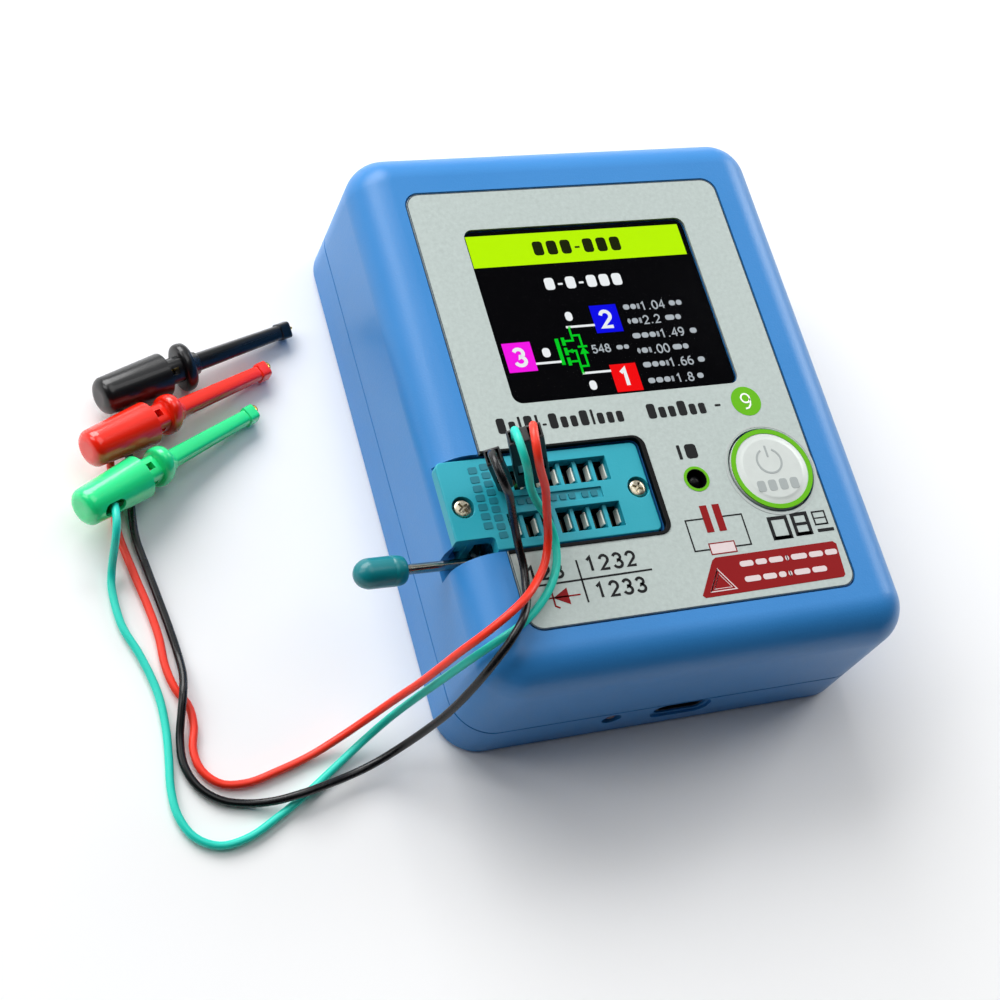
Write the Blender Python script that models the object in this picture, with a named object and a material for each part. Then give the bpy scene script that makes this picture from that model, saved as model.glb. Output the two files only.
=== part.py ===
"""Component tester: moulded case, printed face, 14-way lever socket and three test leads with hook clips.

Metres, +Z up. The case lies on its back. The origin is the middle of the rear face, X runs right across
the face and Y runs up it. Dimensions below are in millimetres and are scaled by MM when a mesh is made.
"""

import math

import bmesh
import bpy
from mathutils import Matrix, Vector

for old in list(bpy.data.objects):
    bpy.data.objects.remove(old, do_unlink=True)

MM = 0.001
GAP = 0.3

# ---- case -------------------------------------------------------------------------------------
CASE_HX, CASE_HY, CASE_H = 33.25, 42.75, 26.0
CORNER_R = 6.2
BASE_R = 0.7
FILLET_R = 5.7
WALL = 2.0
SPLIT_Z = 7.8
LIP_TOP = 9.6
FLOOR = 2.0
TOP_INNER_Z = 24.0
BOSS_X, BOSS_Y = 26.4, 35.9

# ---- face -------------------------------------------------------------------------------------
PANEL = (-26.35, 24.7, -35.1, 34.1)
PANEL_Z = (25.6, 26.0)
WINDOW = (-19.0, 17.3, -1.4, 27.5)
SOCKET_HOLE = (-32.3, -1.9, -23.3, -8.5)
BUTTON_C = (17.4, -15.9)
BUTTON_R = 6.45
BUTTON_TRAVEL = 0.5
IR_C = (5.1, -16.0)

# ---- boards -----------------------------------------------------------------------------------
PCB = (-30.0, 30.0, -32.5, 32.5)
PCB_Z = (11.2, 12.8)
POSTS = ((27.2, 26.0), (27.2, -27.0), (-27.2, 29.5), (-25.0, -29.0))

# ---- lever socket -----------------------------------------------------------------------------
PITCH = 2.54
SLOT_X0 = -8.55
ROWS = {"front": -19.4, "rear": -12.4}
COVER = (-33.1, -2.3, -22.9, -8.9)
COVER_Z = (23.7, 25.6)
SHAFT_X, SHAFT_Z = -28.3, 20.0
LEVER_Y = -21.9
LEVER_RISE = math.radians(3.0)
SCREW_Y = -16.0
SCREW_X = {"left": -30.7, "right": -4.05}
SCREW_FOOT = {"left": 19.8, "right": 16.6}

# ---- charging port ----------------------------------------------------------------------------
USB_X, USB_Z = 2.45, 5.35
LED_X, LED_Z = -8.9, 5.7

# ---- test leads -------------------------------------------------------------------------------
LEAD_D = 1.15
LEAD_STEP = 2.8
PLUG_LEN = 14.0

# Route points of the three wires, from the plug to the clip.
ROUTES = {
    "green": (
        (-26.93, -12.76, 39.79), (-27.22, -12.73, 40.48), (-27.88, -13.22, 42.07), (-28.26, -14.62, 43.11),
        (-28.23, -16.41, 43.2), (-27.78, -17.9, 42.3), (-27.11, -18.52, 40.76), (-25.3, -18.9, 36.3),
        (-23.1, -19.3, 32.3), (-20.9, -20.8, 29.4), (-19.9, -23.2, 27.6), (-20.3, -26.2, 27),
        (-22, -29.3, 26.95), (-24.8, -32.2, 26.95), (-28, -34.4, 26.95), (-31.3, -35.8, 26.2),
        (-34, -36.5, 23.2), (-35.7, -36.6, 18.8), (-37, -36.4, 13.6), (-38.7, -36.4, 8.4),
        (-41, -37, 4.2), (-44.4, -38.7, 1.6), (-48.8, -41.4, 0.7), (-53.4, -44.3, 0.7),
        (-58.3, -47, 0.7), (-63.1, -49.2, 0.7), (-67.2, -49.6, 0.7), (-70.3, -47.8, 0.7),
        (-71.8, -44.6, 0.7), (-72, -40.8, 0.7), (-71.4, -36.6, 0.7), (-70.9, -32, 0.7),
        (-71, -27, 0.7), (-72.3, -21.3, 0.7), (-73.9, -16.6, 0.7), (-74.18, -10.83, 0.7),
        (-73.95, -9.2, 1.16), (-73.78, -8.03, 2.4), (-73.63, -7.02, 4.32), (-73.48, -6.01, 6.24),
        (-73.39, -5.37, 7.05), (-73.26, -4.48, 7.56), (-73.11, -3.46, 7.7), (-72.97, -2.47, 7.45),
        (-72.8, -1.3, 6.9),
    ),
    "red": (
        (-24.59, -12.76, 40.78), (-24.88, -12.73, 41.47), (-25.64, -13.22, 43.06), (-26.25, -14.64, 44.02),
        (-26.49, -16.45, 43.99), (-26.26, -17.95, 42.99), (-25.65, -18.58, 41.38), (-24, -20, 37.8),
        (-23, -21, 34.6), (-22.2, -22.5, 31.6), (-22, -24.5, 29.4), (-22.8, -26.8, 28.4),
        (-24.8, -29.3, 28.6), (-27.3, -31.6, 29.35), (-30.2, -33.5, 29.3), (-33.4, -35, 27.4),
        (-35.9, -35.6, 23.3), (-37.4, -35.7, 18.3), (-38.9, -35.7, 13.2), (-40.9, -35.8, 8.6),
        (-43.8, -36.5, 4.6), (-47.7, -37.8, 1.9), (-52.2, -39.4, 0.75), (-57.2, -40.8, 0.7),
        (-61.6, -41.7, 0.7), (-65.2, -41.2, 0.7), (-67.4, -38.9, 0.7), (-67.9, -35.8, 0.7),
        (-67.1, -32.6, 0.7), (-67.2, -29.6, 0.7), (-68.5, -26.9, 0.7), (-69.2, -23.4, 0.7),
        (-69.2, -19, 0.7), (-69.8, -14.2, 0.7), (-70.7, -9.3, 0.7), (-71.75, -1.5, 0.7),
        (-71.01, 2.07, 0.7), (-71.09, 3.46, 0.78), (-71.16, 4.76, 1.25), (-71.22, 5.66, 1.98),
        (-71.27, 6.64, 3.05), (-71.33, 7.62, 4.12),
    ),
    "black": (
        (-30.7, -15.17, 39.4), (-31.03, -15.27, 40.06), (-31.71, -16.03, 41.53), (-31.97, -17.6, 42.36),
        (-31.7, -19.37, 42.24), (-31.01, -20.66, 41.21), (-30.17, -20.99, 39.66), (-28.6, -21, 36),
        (-26.9, -21.9, 31.6), (-25.8, -23.8, 28.6), (-25.3, -26.3, 27.2), (-25.7, -29, 27),
        (-26.6, -31.7, 27.7), (-28.4, -34.4, 28.8), (-30.7, -36.9, 28.2), (-33.2, -39.1, 24.9),
        (-35.1, -40.4, 20), (-36.6, -41, 14.6), (-38.3, -41.2, 9.3), (-40.6, -41.6, 5.2),
        (-43.8, -42.4, 2.5), (-47.4, -43.3, 1.75), (-51.2, -44.2, 2.15), (-55, -44.9, 2.3),
        (-58.9, -45, 1.3), (-62.4, -44.5, 0.7), (-65.8, -43.4, 0.7), (-68.4, -41, 0.7),
        (-69.6, -37.6, 0.7), (-69.4, -34.2, 0.8), (-68.7, -31, 1.8), (-68, -28.3, 2.45),
        (-67.3, -25.5, 1.7), (-67.1, -22.2, 0.7), (-67.5, -18, 0.7), (-68.1, -13.5, 0.7),
        (-68.8, -8.5, 0.7), (-69.4, -3.5, 0.7), (-68.95, 2, 0.7), (-68.2, 7, 0.7),
        (-67.28, 12.38, 0.7), (-67.33, 13.78, 0.74), (-67.36, 14.88, 0.98), (-67.39, 15.58, 1.35),
        (-67.42, 16.5, 2.4),
    ),
}

# Plug housings: foot, the direction that they lean in, ways and the pins' X positions in the row.
PLUGS = {
    "plug_pair": ((-20.1, -13.3, 27.0), (-0.426, 0.041, 1.0), 2.35),
    "plug_black": ((-24.25, -13.3, 26.6), (-0.504, -0.146, 1.0), 1.1),
}

# Hook clips: rear end, heading, rise over the length and roll about the long axis.
CLIPS = {
    "green": ((-77.49, -1.35, 6.6), (0.8897, 0.4565), -0.155, math.radians(90)),
    "red": ((-74.94, 7.67, 6.4), (0.9188, 0.3948), -0.15, math.radians(90)),
    "black": ((-71.23, 16.78, 4.5), (0.9481, 0.3179), -0.092, math.radians(30)),
}
BARREL_LEN = 10.8
BARREL_R, BARREL_BORE = (2.75, 3.25), (2.3, 2.75)
FLANGE_S, TIP_S = 13.4, 33.0
CLIP_TRAVEL = 2.2


# ---- materials --------------------------------------------------------------------------------
def material(name, colour, roughness, metallic=0.0):
    made = bpy.data.materials.new(name)
    made.use_nodes = True
    shader = made.node_tree.nodes["Principled BSDF"]
    shader.inputs["Base Color"].default_value = (*colour, 1.0)
    shader.inputs["Roughness"].default_value = roughness
    shader.inputs["Metallic"].default_value = metallic
    made.diffuse_color = (*colour, 1.0)
    return made


M = {
    "case_blue": material("case_blue", (0.07, 0.27, 0.68), 0.42),
    "silver_film": material("silver_film", (0.55, 0.60, 0.58), 0.45),
    "clear_pane": material("clear_pane", (0.01, 0.01, 0.012), 0.08),
    "glass": material("lcd_glass", (0.012, 0.012, 0.015), 0.1),
    "tin": material("tin_plate", (0.62, 0.62, 0.62), 0.35, 1.0),
    "key": material("key_film", (0.62, 0.66, 0.64), 0.4),
    "pcb": material("board_green", (0.02, 0.14, 0.05), 0.5),
    "cell": material("cell_foil", (0.55, 0.56, 0.58), 0.35, 0.6),
    "black": material("black_plastic", (0.012, 0.012, 0.014), 0.38),
    "lens": material("light_lens", (0.7, 0.05, 0.04), 0.2),
    "teal": material("socket_teal", (0.02, 0.33, 0.40), 0.45),
    "knob": material("knob_teal", (0.005, 0.17, 0.20), 0.42),
    "steel": material("bright_steel", (0.62, 0.60, 0.56), 0.28, 1.0),
    "gold": material("gold_plate", (0.86, 0.62, 0.24), 0.25, 1.0),
    "green": material("clip_green", (0.02, 0.68, 0.24), 0.3),
    "red": material("clip_red", (0.90, 0.03, 0.015), 0.3),
    "clipblack": material("clip_black", (0.014, 0.014, 0.018), 0.3),
    "wire_green": material("wire_green", (0.01, 0.55, 0.44), 0.42),
    "wire_red": material("wire_red", (0.86, 0.035, 0.015), 0.42),
    "wire_black": material("wire_black", (0.012, 0.012, 0.014), 0.42),
}


# ---- modelling helpers ------------------------------------------------------------------------
def ring(x0, x1, y0, y1, r, z, n=7):
    """A rounded rectangle at height z, anticlockwise seen from above."""
    r = max(r, 0.01)
    points = []
    for cx, cy, start in (
        (x1 - r, y1 - r, 0.0),
        (x0 + r, y1 - r, 90.0),
        (x0 + r, y0 + r, 180.0),
        (x1 - r, y0 + r, 270.0),
    ):
        for i in range(n):
            a = math.radians(start + 90.0 * i / (n - 1))
            points.append(Vector((cx + r * math.cos(a), cy + r * math.sin(a), z)))
    return points


def oval(a, b, s, n=16, square=0.0):
    """A closed section across the X axis at station s: an ellipse, or with square=1 a square of the same half sizes."""
    points = []
    for i in range(n):
        t = 2 * math.pi * (i + 0.5) / n
        c, q = math.cos(t), math.sin(t)
        k = 1.0 + square * (1.0 / max(abs(c), abs(q)) - 1.0)
        points.append(Vector((s, a * c * k, b * q * k)))
    return points


def finish(name, bm, mat, angle=35.0, matrix=None, helper=False):
    bmesh.ops.recalc_face_normals(bm, faces=bm.faces)
    mesh = bpy.data.meshes.new(name)
    for v in bm.verts:
        v.co *= MM
    bm.to_mesh(mesh)
    bm.free()
    obj = bpy.data.objects.new(name, mesh)
    bpy.context.scene.collection.objects.link(obj)
    if helper:
        obj.hide_render = True
        obj.display_type = "WIRE"
    else:
        mesh.materials.append(mat)
        mesh.shade_smooth()
        mesh.set_sharp_from_angle(angle=math.radians(angle))
    if matrix is not None:
        obj.matrix_world = matrix
    return obj


def loft_into(bm, rings):
    """One closed skin through the rings, with both ends capped."""
    rows = [[bm.verts.new(p) for p in r] for r in rings]
    n = len(rows[0])
    for a, b in zip(rows, rows[1:]):
        for i in range(n):
            bm.faces.new((a[i], a[(i + 1) % n], b[(i + 1) % n], b[i]))
    bm.faces.new(list(reversed(rows[0])))
    bm.faces.new(rows[-1])


def loft(name, rings, mat=None, **options):
    bm = bmesh.new()
    loft_into(bm, rings)
    return finish(name, bm, mat, **options)


def box_into(bm, x0, x1, y0, y1, z0, z1):
    loft_into(
        bm,
        [
            [Vector((x0, y0, z)), Vector((x1, y0, z)), Vector((x1, y1, z)), Vector((x0, y1, z))]
            for z in (z0, z1)
        ],
    )


def box(name, x0, x1, y0, y1, z0, z1, mat=None, bevel=0.0, **options):
    bm = bmesh.new()
    box_into(bm, x0, x1, y0, y1, z0, z1)
    obj = finish(name, bm, mat, **options)
    if bevel:
        made = obj.modifiers.new("Edge", "BEVEL")
        made.width = bevel * MM
        made.segments = 2
        made.limit_method = "ANGLE"
    return obj


def turned(name, axis, centre, profile, n=20, mat=None, **options):
    """A round piece: profile is (distance along the axis, radius), from one end to the other."""
    along = {"x": Vector((1, 0, 0)), "y": Vector((0, 1, 0)), "z": Vector((0, 0, 1))}[axis]
    side = {"x": Vector((0, 1, 0)), "y": Vector((0, 0, 1)), "z": Vector((1, 0, 0))}[axis]
    up = along.cross(side)
    rings = []
    for s, r in profile:
        rings.append(
            [
                Vector(centre)
                + along * s
                + side * (r * math.cos(2 * math.pi * i / n))
                + up * (r * math.sin(2 * math.pi * i / n))
                for i in range(n)
            ]
        )
    return loft(name, rings, mat, **options)


def apply_boolean(obj, other, kind):
    made = obj.modifiers.new(other.name, "BOOLEAN")
    made.operation = kind
    made.solver = "EXACT"
    made.object = other
    return made


def cut(obj, *others):
    for other in others:
        apply_boolean(obj, other, "DIFFERENCE")


def join(obj, *others):
    for other in others:
        apply_boolean(obj, other, "UNION")


# ---- case -------------------------------------------------------------------------------------
def shell_rings(inset, z_low, z_spring, radius, steps, corner):
    """A prism of the case outline whose top edge is rounded over."""
    hx, hy = CASE_HX - inset, CASE_HY - inset
    rings = [ring(-hx, hx, -hy, hy, corner, z_low), ring(-hx, hx, -hy, hy, corner, z_spring)]
    for i in range(1, steps + 1):
        a = math.pi / 2 * i / steps
        d = radius * (1 - math.cos(a))
        z = z_spring + radius * math.sin(a)
        rings.append(ring(-hx + d, hx - d, -hy + d, hy - d, corner - d, z))
    return rings


SPRING_Z = CASE_H - FILLET_R
front_shell = loft(
    "front_shell",
    shell_rings(0.0, SPLIT_Z + GAP, SPRING_Z, FILLET_R, 7, CORNER_R),
    M["case_blue"],
)
cavity = loft(
    "cut_front_cavity",
    shell_rings(WALL, SPLIT_Z - 1, SPRING_Z, TOP_INNER_Z - SPRING_Z, 4, CORNER_R - WALL),
    helper=True,
)
cut(front_shell, cavity)
for k, (sx, sy) in enumerate(((1, 1), (-1, 1), (-1, -1), (1, -1)), 1):
    join(
        front_shell,
        turned(
            f"add_front_boss_{k}", "z", (sx * BOSS_X, sy * BOSS_Y, 0),
            ((SPLIT_Z + GAP, 3.0), (24.6, 3.0)), n=14, helper=True,
        ),
    )
for k, (px, py) in enumerate(POSTS, 1):
    join(
        front_shell,
        turned(f"add_front_post_{k}", "z", (px, py, 0), ((PCB_Z[1] + GAP, 1.7), (24.6, 1.7)), n=10, helper=True),
    )
for k, (sx, sy) in enumerate(((1, 1), (-1, 1), (-1, -1), (1, -1)), 1):
    cut(
        front_shell,
        turned(
            f"cut_front_boss_{k}", "z", (sx * BOSS_X, sy * BOSS_Y, 0),
            ((SPLIT_Z - 2, 1.5), (17.0, 1.5)), n=12, helper=True,
        ),
    )
panel_recess = loft(
    "cut_panel_recess",
    [ring(PANEL[0] - 0.25, PANEL[1] + 0.25, PANEL[2] - 0.25, PANEL[3] + 0.25, 2.4, z) for z in (PANEL_Z[0] - GAP, 28.0)],
    helper=True,
)
window_hole = loft(
    "cut_window",
    [ring(*WINDOW, 1.5, z, 5) for z in (20.0, 28.0)],
    helper=True,
)
socket_hole = loft(
    "cut_socket",
    [ring(*SOCKET_HOLE, 1.2, z, 4) for z in (19.3, 28.0)],
    helper=True,
)
socket_ledge = box("cut_socket_ledge", -40, -29.0, -20.9, SOCKET_HOLE[3], 22.9, 30, helper=True)
lever_slot = box("cut_lever_slot", -40, -26.6, SOCKET_HOLE[2] - 0.001, -20.5, 17.5, 30, helper=True)
button_hole = turned("cut_button", "z", (*BUTTON_C, 0), ((20, BUTTON_R + 0.3), (28, BUTTON_R + 0.3)), n=32, helper=True)
ir_hole = turned("cut_ir", "z", (*IR_C, 0), ((20, 1.55), (28, 1.55)), n=16, helper=True)
cut(front_shell, panel_recess, window_hole, socket_hole, socket_ledge, lever_slot, button_hole, ir_hole)

rear_rings = []
for i in range(4):
    a = math.pi / 2 * i / 3
    d = BASE_R * (1 - math.sin(a))
    z = BASE_R * (1 - math.cos(a))
    rear_rings.append(ring(-CASE_HX + d, CASE_HX - d, -CASE_HY + d, CASE_HY - d, CORNER_R - d, z))
for inset, z in ((0.0, SPLIT_Z), (2.35, SPLIT_Z), (2.35, LIP_TOP), (3.35, LIP_TOP), (3.35, FLOOR)):
    rear_rings.append(
        ring(-CASE_HX + inset, CASE_HX - inset, -CASE_HY + inset, CASE_HY - inset, CORNER_R - inset, z)
    )
rear_shell = loft("rear_shell", rear_rings, M["case_blue"])
for k, (sx, sy) in enumerate(((1, 1), (-1, 1), (-1, -1), (1, -1)), 1):
    join(
        rear_shell,
        turned(f"add_rear_boss_{k}", "z", (sx * BOSS_X, sy * BOSS_Y, 0), ((1.0, 3.8), (SPLIT_Z, 3.8)), n=14, helper=True),
    )
for k, (px, py) in enumerate(POSTS, 1):
    join(
        rear_shell,
        turned(f"add_rear_post_{k}", "z", (px, py, 0), ((1.0, 1.7), (PCB_Z[0] - GAP, 1.7)), n=10, helper=True),
    )
for k, (sx, sy) in enumerate(((1, 1), (-1, 1), (-1, -1), (1, -1)), 1):
    centre = (sx * BOSS_X, sy * BOSS_Y, 0)
    cut(
        rear_shell,
        turned(f"cut_rear_boss_{k}", "z", centre, ((-1.0, 2.75), (2.4, 2.75), (2.4, 1.5), (12.0, 1.5)), n=14, helper=True),
    )
    turned(
        f"case_screw_{k}", "z", centre,
        ((0.5, 1.9), (0.75, 2.3), (2.05, 2.3), (2.05, 1.12), (15.4, 1.12), (16.2, 0.4)), n=12, mat=M["steel"],
    )
    bm = bmesh.new()
    box_into(bm, centre[0] - 1.5, centre[0] + 1.5, centre[1] - 0.25, centre[1] + 0.25, -1, 1.2)
    cross_a = finish(f"cut_cross_a_{k}", bm, None, helper=True)
    bm = bmesh.new()
    box_into(bm, centre[0] - 0.25, centre[0] + 0.25, centre[1] - 1.5, centre[1] + 1.5, -1, 1.2)
    cross_b = finish(f"cut_cross_b_{k}", bm, None, helper=True)
    cut(bpy.data.objects[f"case_screw_{k}"], cross_a, cross_b)


def slot_y(name, x0, x1, z0, z1, r, y0, y1, mat=None):
    """A rounded bar that runs along Y. With no material it is a helper."""
    rings = []
    for y in (y0, y1):
        rings.append([Vector((p.x, y, p.y)) for p in ring(x0, x1, z0, z1, r, 0.0, 4)])
    return loft(name, rings, mat, helper=mat is None)


usb_hole = slot_y("cut_usb", USB_X - 3.98, USB_X + 3.98, USB_Z - 1.63, USB_Z + 1.63, 1.15, -46, -38)
led_hole = turned("cut_led", "y", (LED_X, 0, LED_Z), ((-46, 1.5), (-38, 1.5)), n=16, helper=True)
cut(rear_shell, usb_hole, led_hole)

# ---- face -------------------------------------------------------------------------------------
face_panel = loft("face_panel", [ring(*PANEL, 2.2, z) for z in PANEL_Z], M["silver_film"])
cut(face_panel, window_hole, socket_hole, button_hole, ir_hole)

W_IN = (WINDOW[0] + 0.25, WINDOW[1] - 0.25, WINDOW[2] + 0.25, WINDOW[3] - 0.25)
loft(
    "display_window",
    [
        ring(*W_IN, 1.3, TOP_INNER_Z, 5),
        ring(*W_IN, 1.3, 25.7, 5),
        ring(W_IN[0] + 0.15, W_IN[1] - 0.15, W_IN[2] + 0.15, W_IN[3] - 0.15, 1.2, 25.85, 5),
    ],
    M["clear_pane"],
)
turned(
    "test_button", "z", (*BUTTON_C, 0),
    ((22.2, 1.9), (22.9, 1.9), (22.9, 7.5), (23.5, 7.5), (23.5, BUTTON_R), (25.95, BUTTON_R), (26.3, BUTTON_R - 0.3), (26.42, BUTTON_R - 1.2), (26.5, 2.5)),
    n=32, mat=M["key"],
)

# ---- screen, boards, cell ---------------------------------------------------------------------
box("lcd_panel", -23.3, 21.4, -3.4, 29.6, 22.5, 23.7, M["glass"])
lcd_frame = box("lcd_frame", -24.0, 22.0, -4.0, 30.2, 19.6, 22.2, M["tin"])
for k, (lx, ly) in enumerate(((-22.5, -2.5), (20.5, -2.5), (20.5, 28.7), (-22.5, 28.7)), 1):
    join(
        lcd_frame,
        turned(f"add_lcd_leg_{k}", "z", (lx, ly, 0), ((PCB_Z[1] + GAP, 1.2), (20.4, 1.2)), n=8, helper=True),
    )
main_pcb = box("main_pcb", *PCB, *PCB_Z, M["pcb"])
charger_pcb = box("charger_pcb", -13.0, 10.0, -38.9, -22.0, 2.5, 3.7, M["pcb"])
box("battery", -17.0, 17.0, -18.0, 16.0, 2.3, 7.6, M["cell"], bevel=1.2)


def slot_x(i):
    return SLOT_X0 - PITCH * i


def contact_x(i):
    return slot_x(i) + 0.15


bm = bmesh.new()
for y in ROWS.values():
    for i in range(7):
        box_into(bm, contact_x(i) - 0.5, contact_x(i) + 0.5, y - 0.65, y + 0.65, PCB_Z[0] - 1, 16.0)
tail_holes = finish("cut_tail_holes", bm, None, helper=True)
cut(main_pcb, tail_holes)

usb_socket = slot_y("usb_socket", USB_X - 3.65, USB_X + 3.65, 4.05, 6.65, 0.9, -42.2, -36.7, M["tin"])
cut(usb_socket, slot_y("cut_usb_mouth", USB_X - 3.35, USB_X + 3.35, 4.35, 6.35, 0.7, -44, -38.2))
join(usb_socket, box("add_usb_tongue", USB_X - 2.4, USB_X + 2.4, -41.6, -37.5, 5.05, 5.65, helper=True))

charge_led = turned(
    "charge_led", "y", (LED_X, 0, LED_Z),
    ((-42.5, 0.5), (-42.35, 0.9), (-41.9, 1.15), (-38.4, 1.15)), n=14, mat=M["lens"],
)
join(charge_led, box("add_led_foot", LED_X - 1.0, LED_X + 1.0, -39.0, -37.4, 4.0, LED_Z + 0.4, helper=True))

switch_body = box("switch_body", BUTTON_C[0] - 3, BUTTON_C[0] + 3, BUTTON_C[1] - 3, BUTTON_C[1] + 3, PCB_Z[1] + GAP, 16.7, M["black"])
cut(switch_body, turned("cut_switch", "z", (*BUTTON_C, 0), ((14.4, 2.05), (18.0, 2.05)), n=16, helper=True))
turned("switch_plunger", "z", (*BUTTON_C, 0), ((15.3, 1.7), (21.9, 1.7)), n=16, mat=M["black"])

ir_receiver = box("ir_receiver", IR_C[0] - 3.2, IR_C[0] + 3.2, IR_C[1] - 2.2, IR_C[1] + 1.4, 19.0, 22.9, M["black"])
dome = [(22.0, 1.25), (24.4, 1.25)] + [
    (24.4 + 1.2 * math.sin(a), 1.25 * math.cos(a)) for a in (math.radians(d) for d in (30, 60, 80))
]
join(ir_receiver, turned("add_ir_dome", "z", (*IR_C, 0), dome, n=16, helper=True))
for k, dx in enumerate((-2.54, 0.0, 2.54), 1):
    join(
        ir_receiver,
        box(f"add_ir_leg_{k}", IR_C[0] + dx - 0.25, IR_C[0] + dx + 0.25, IR_C[1] - 1.7, IR_C[1] - 1.2, PCB_Z[1] + GAP, 19.6, helper=True),
    )

# ---- lever socket -----------------------------------------------------------------------------
BASE_Z0, BASE_Z1 = PCB_Z[1] + GAP, 23.3
zif_base = box("zif_base", -30.6, -2.7, -22.2, -9.5, BASE_Z0, BASE_Z1, M["teal"])
join(zif_base, box("add_base_ear", -31.95, -30.0, -20.3, -9.9, 20.9, BASE_Z1, helper=True))
cut(
    zif_base,
    box("cut_base_corner", -35, -26.5, -25, -20.6, 10, 30, helper=True),
    box("cut_slider_pocket", -26.6, -5.2, -21.6, -10.0, 21.3, 30, helper=True),
    box("cut_trench_front", -25.3, -7.2, ROWS["front"] - 1.55, ROWS["front"] + 1.55, 14.5, 22, helper=True),
    box("cut_trench_rear", -25.3, -7.2, ROWS["rear"] - 1.55, ROWS["rear"] + 1.55, 14.5, 22, helper=True),
    tail_holes,
    box("cut_shaft_groove", SHAFT_X - 1.25, SHAFT_X + 1.25, -25, -10.2, SHAFT_Z - 1.25, 30, helper=True),
    box("cut_cam_groove", SHAFT_X - 1.65, -26.0, -15.0, -12.0, SHAFT_Z - 1.65, 30, helper=True),
)
for side, x in SCREW_X.items():
    cut(zif_base, turned(f"cut_base_screw_{side}", "z", (x, SCREW_Y, 0), ((16.0, 0.9), (26, 0.9)), n=12, helper=True))

zif_cover = loft(
    "zif_cover",
    [ring(*COVER, 1.0, COVER_Z[0], 4), ring(*COVER, 1.0, COVER_Z[1] - 0.25, 4),
     ring(COVER[0] + 0.25, COVER[1] - 0.25, COVER[2] + 0.25, COVER[3] - 0.25, 0.8, COVER_Z[1], 4)],
    M["teal"],
)
cut(
    zif_cover,
    loft("cut_cover_corner", [ring(-36, -27.4, -26, -20.85, 0.6, z, 4) for z in (22, 27)], helper=True),
    box("cut_window_front_a", -24.8, -18.25, -21.5, -17.7, 22, 27, helper=True),
    box("cut_window_front_b", -17.55, -7.7, -21.5, -17.7, 22, 27, helper=True),
    box("cut_window_rear", -24.8, -7.7, -14.3, -10.6, 22, 27, helper=True),
    box("cut_number_recess", -23.3, -9.7, -16.85, -15.2, COVER_Z[1] - 0.35, 27, helper=True),
)
for side, x in SCREW_X.items():
    cut(
        zif_cover,
        turned(f"cut_cover_screw_{side}", "z", (x, SCREW_Y, 0), ((22, 0.9), (24.4, 0.9), (24.4, 1.62), (27, 1.62)), n=16, helper=True),
    )
    screw = turned(
        f"zif_screw_{side}", "z", (x, SCREW_Y, 0),
        ((SCREW_FOOT[side], 0.2), (SCREW_FOOT[side] + 0.5, 0.55), (24.7, 0.55), (24.7, 1.3), (25.3, 1.3), (25.5, 1.0)), n=16, mat=M["steel"],
    )
    cut(
        screw,
        box(f"cut_zif_cross_a_{side}", x - 0.9, x + 0.9, SCREW_Y - 0.18, SCREW_Y + 0.18, 25.05, 26, helper=True),
        box(f"cut_zif_cross_b_{side}", x - 0.18, x + 0.18, SCREW_Y - 0.9, SCREW_Y + 0.9, 25.05, 26, helper=True),
    )

zif_slider = box("zif_slider", -25.9, -5.8, -21.3, -10.3, 21.6, 23.2, M["teal"])
bm = bmesh.new()
for y in ROWS.values():
    for i in range(7):
        box_into(bm, slot_x(i) - 0.9, slot_x(i) + 0.95, y - 1.6, y + 1.6, 20, 25)
cut(zif_slider, finish("cut_slider_slots", bm, None, helper=True))

for row, y in ROWS.items():
    for i in range(7):
        bm = bmesh.new()
        outline = (
            (-0.3, 10.6), (0.3, 10.6), (0.3, 14.8), (1.2, 15.2), (1.2, 22.6), (0.8, 22.95), (-0.8, 22.95), (-1.2, 22.6), (-1.2, 15.2), (-0.3, 14.8),
        )
        loft_into(bm, [[Vector((contact_x(i) + dx, y + p, q)) for p, q in outline] for dx in (-0.15, 0.15)])
        finish(f"zif_contact_{row}_{7 - i}", bm, M["gold"])

# The lever turns about the shaft, which runs along Y. Its origin is on that axis.
lever_pivot = Matrix.Translation(Vector((SHAFT_X, LEVER_Y, SHAFT_Z)) * MM)
rod_dir = Vector((-math.cos(LEVER_RISE), 0.0, math.sin(LEVER_RISE)))
zif_lever = turned(
    "zif_lever", "y", (0, 0, 0),
    ((-0.75, 0.7), (-0.55, 0.95), (7.2, 0.95), (7.2, 1.35), (9.4, 1.35), (9.4, 0.95), (11.2, 0.95)),
    n=14, mat=M["steel"], matrix=lever_pivot,
)


def along_rod(profile, n):
    side = Vector((0, 1, 0))
    up = rod_dir.cross(side)
    return [
        [rod_dir * s + side * (r * math.cos(2 * math.pi * i / n)) + up * (r * math.sin(2 * math.pi * i / n)) for i in range(n)]
        for s, r in profile
    ]


rod = loft("add_lever_rod", along_rod(((0.2, 0.72), (14.6, 0.72)), 12), helper=True, matrix=lever_pivot)
join(zif_lever, rod)
knob_profile = [(11.0, 1.35), (11.15, 1.72), (11.6, 2.0), (12.4, 2.12), (16.4, 2.12)] + [
    (16.4 + 2.12 * math.sin(a), 2.12 * math.cos(a)) for a in (math.radians(d) for d in (20, 40, 60, 78))
]
zif_lever_knob = loft("zif_lever_knob", along_rod(knob_profile, 20), M["knob"], matrix=lever_pivot)
cut(zif_lever_knob, loft("cut_knob_bore", along_rod(((8.0, 1.05), (15.0, 1.05)), 12), helper=True, matrix=lever_pivot))


# ---- plugs ------------------------------------------------------------------------------------
def plug_frame(foot, lean):
    up = Vector(lean).normalized()
    across = Vector((0, 1, 0)).cross(up).normalized()
    deep = up.cross(across)
    frame = Matrix((across, deep, up)).transposed().to_4x4()
    frame.translation = Vector(foot) * MM
    return frame


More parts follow.
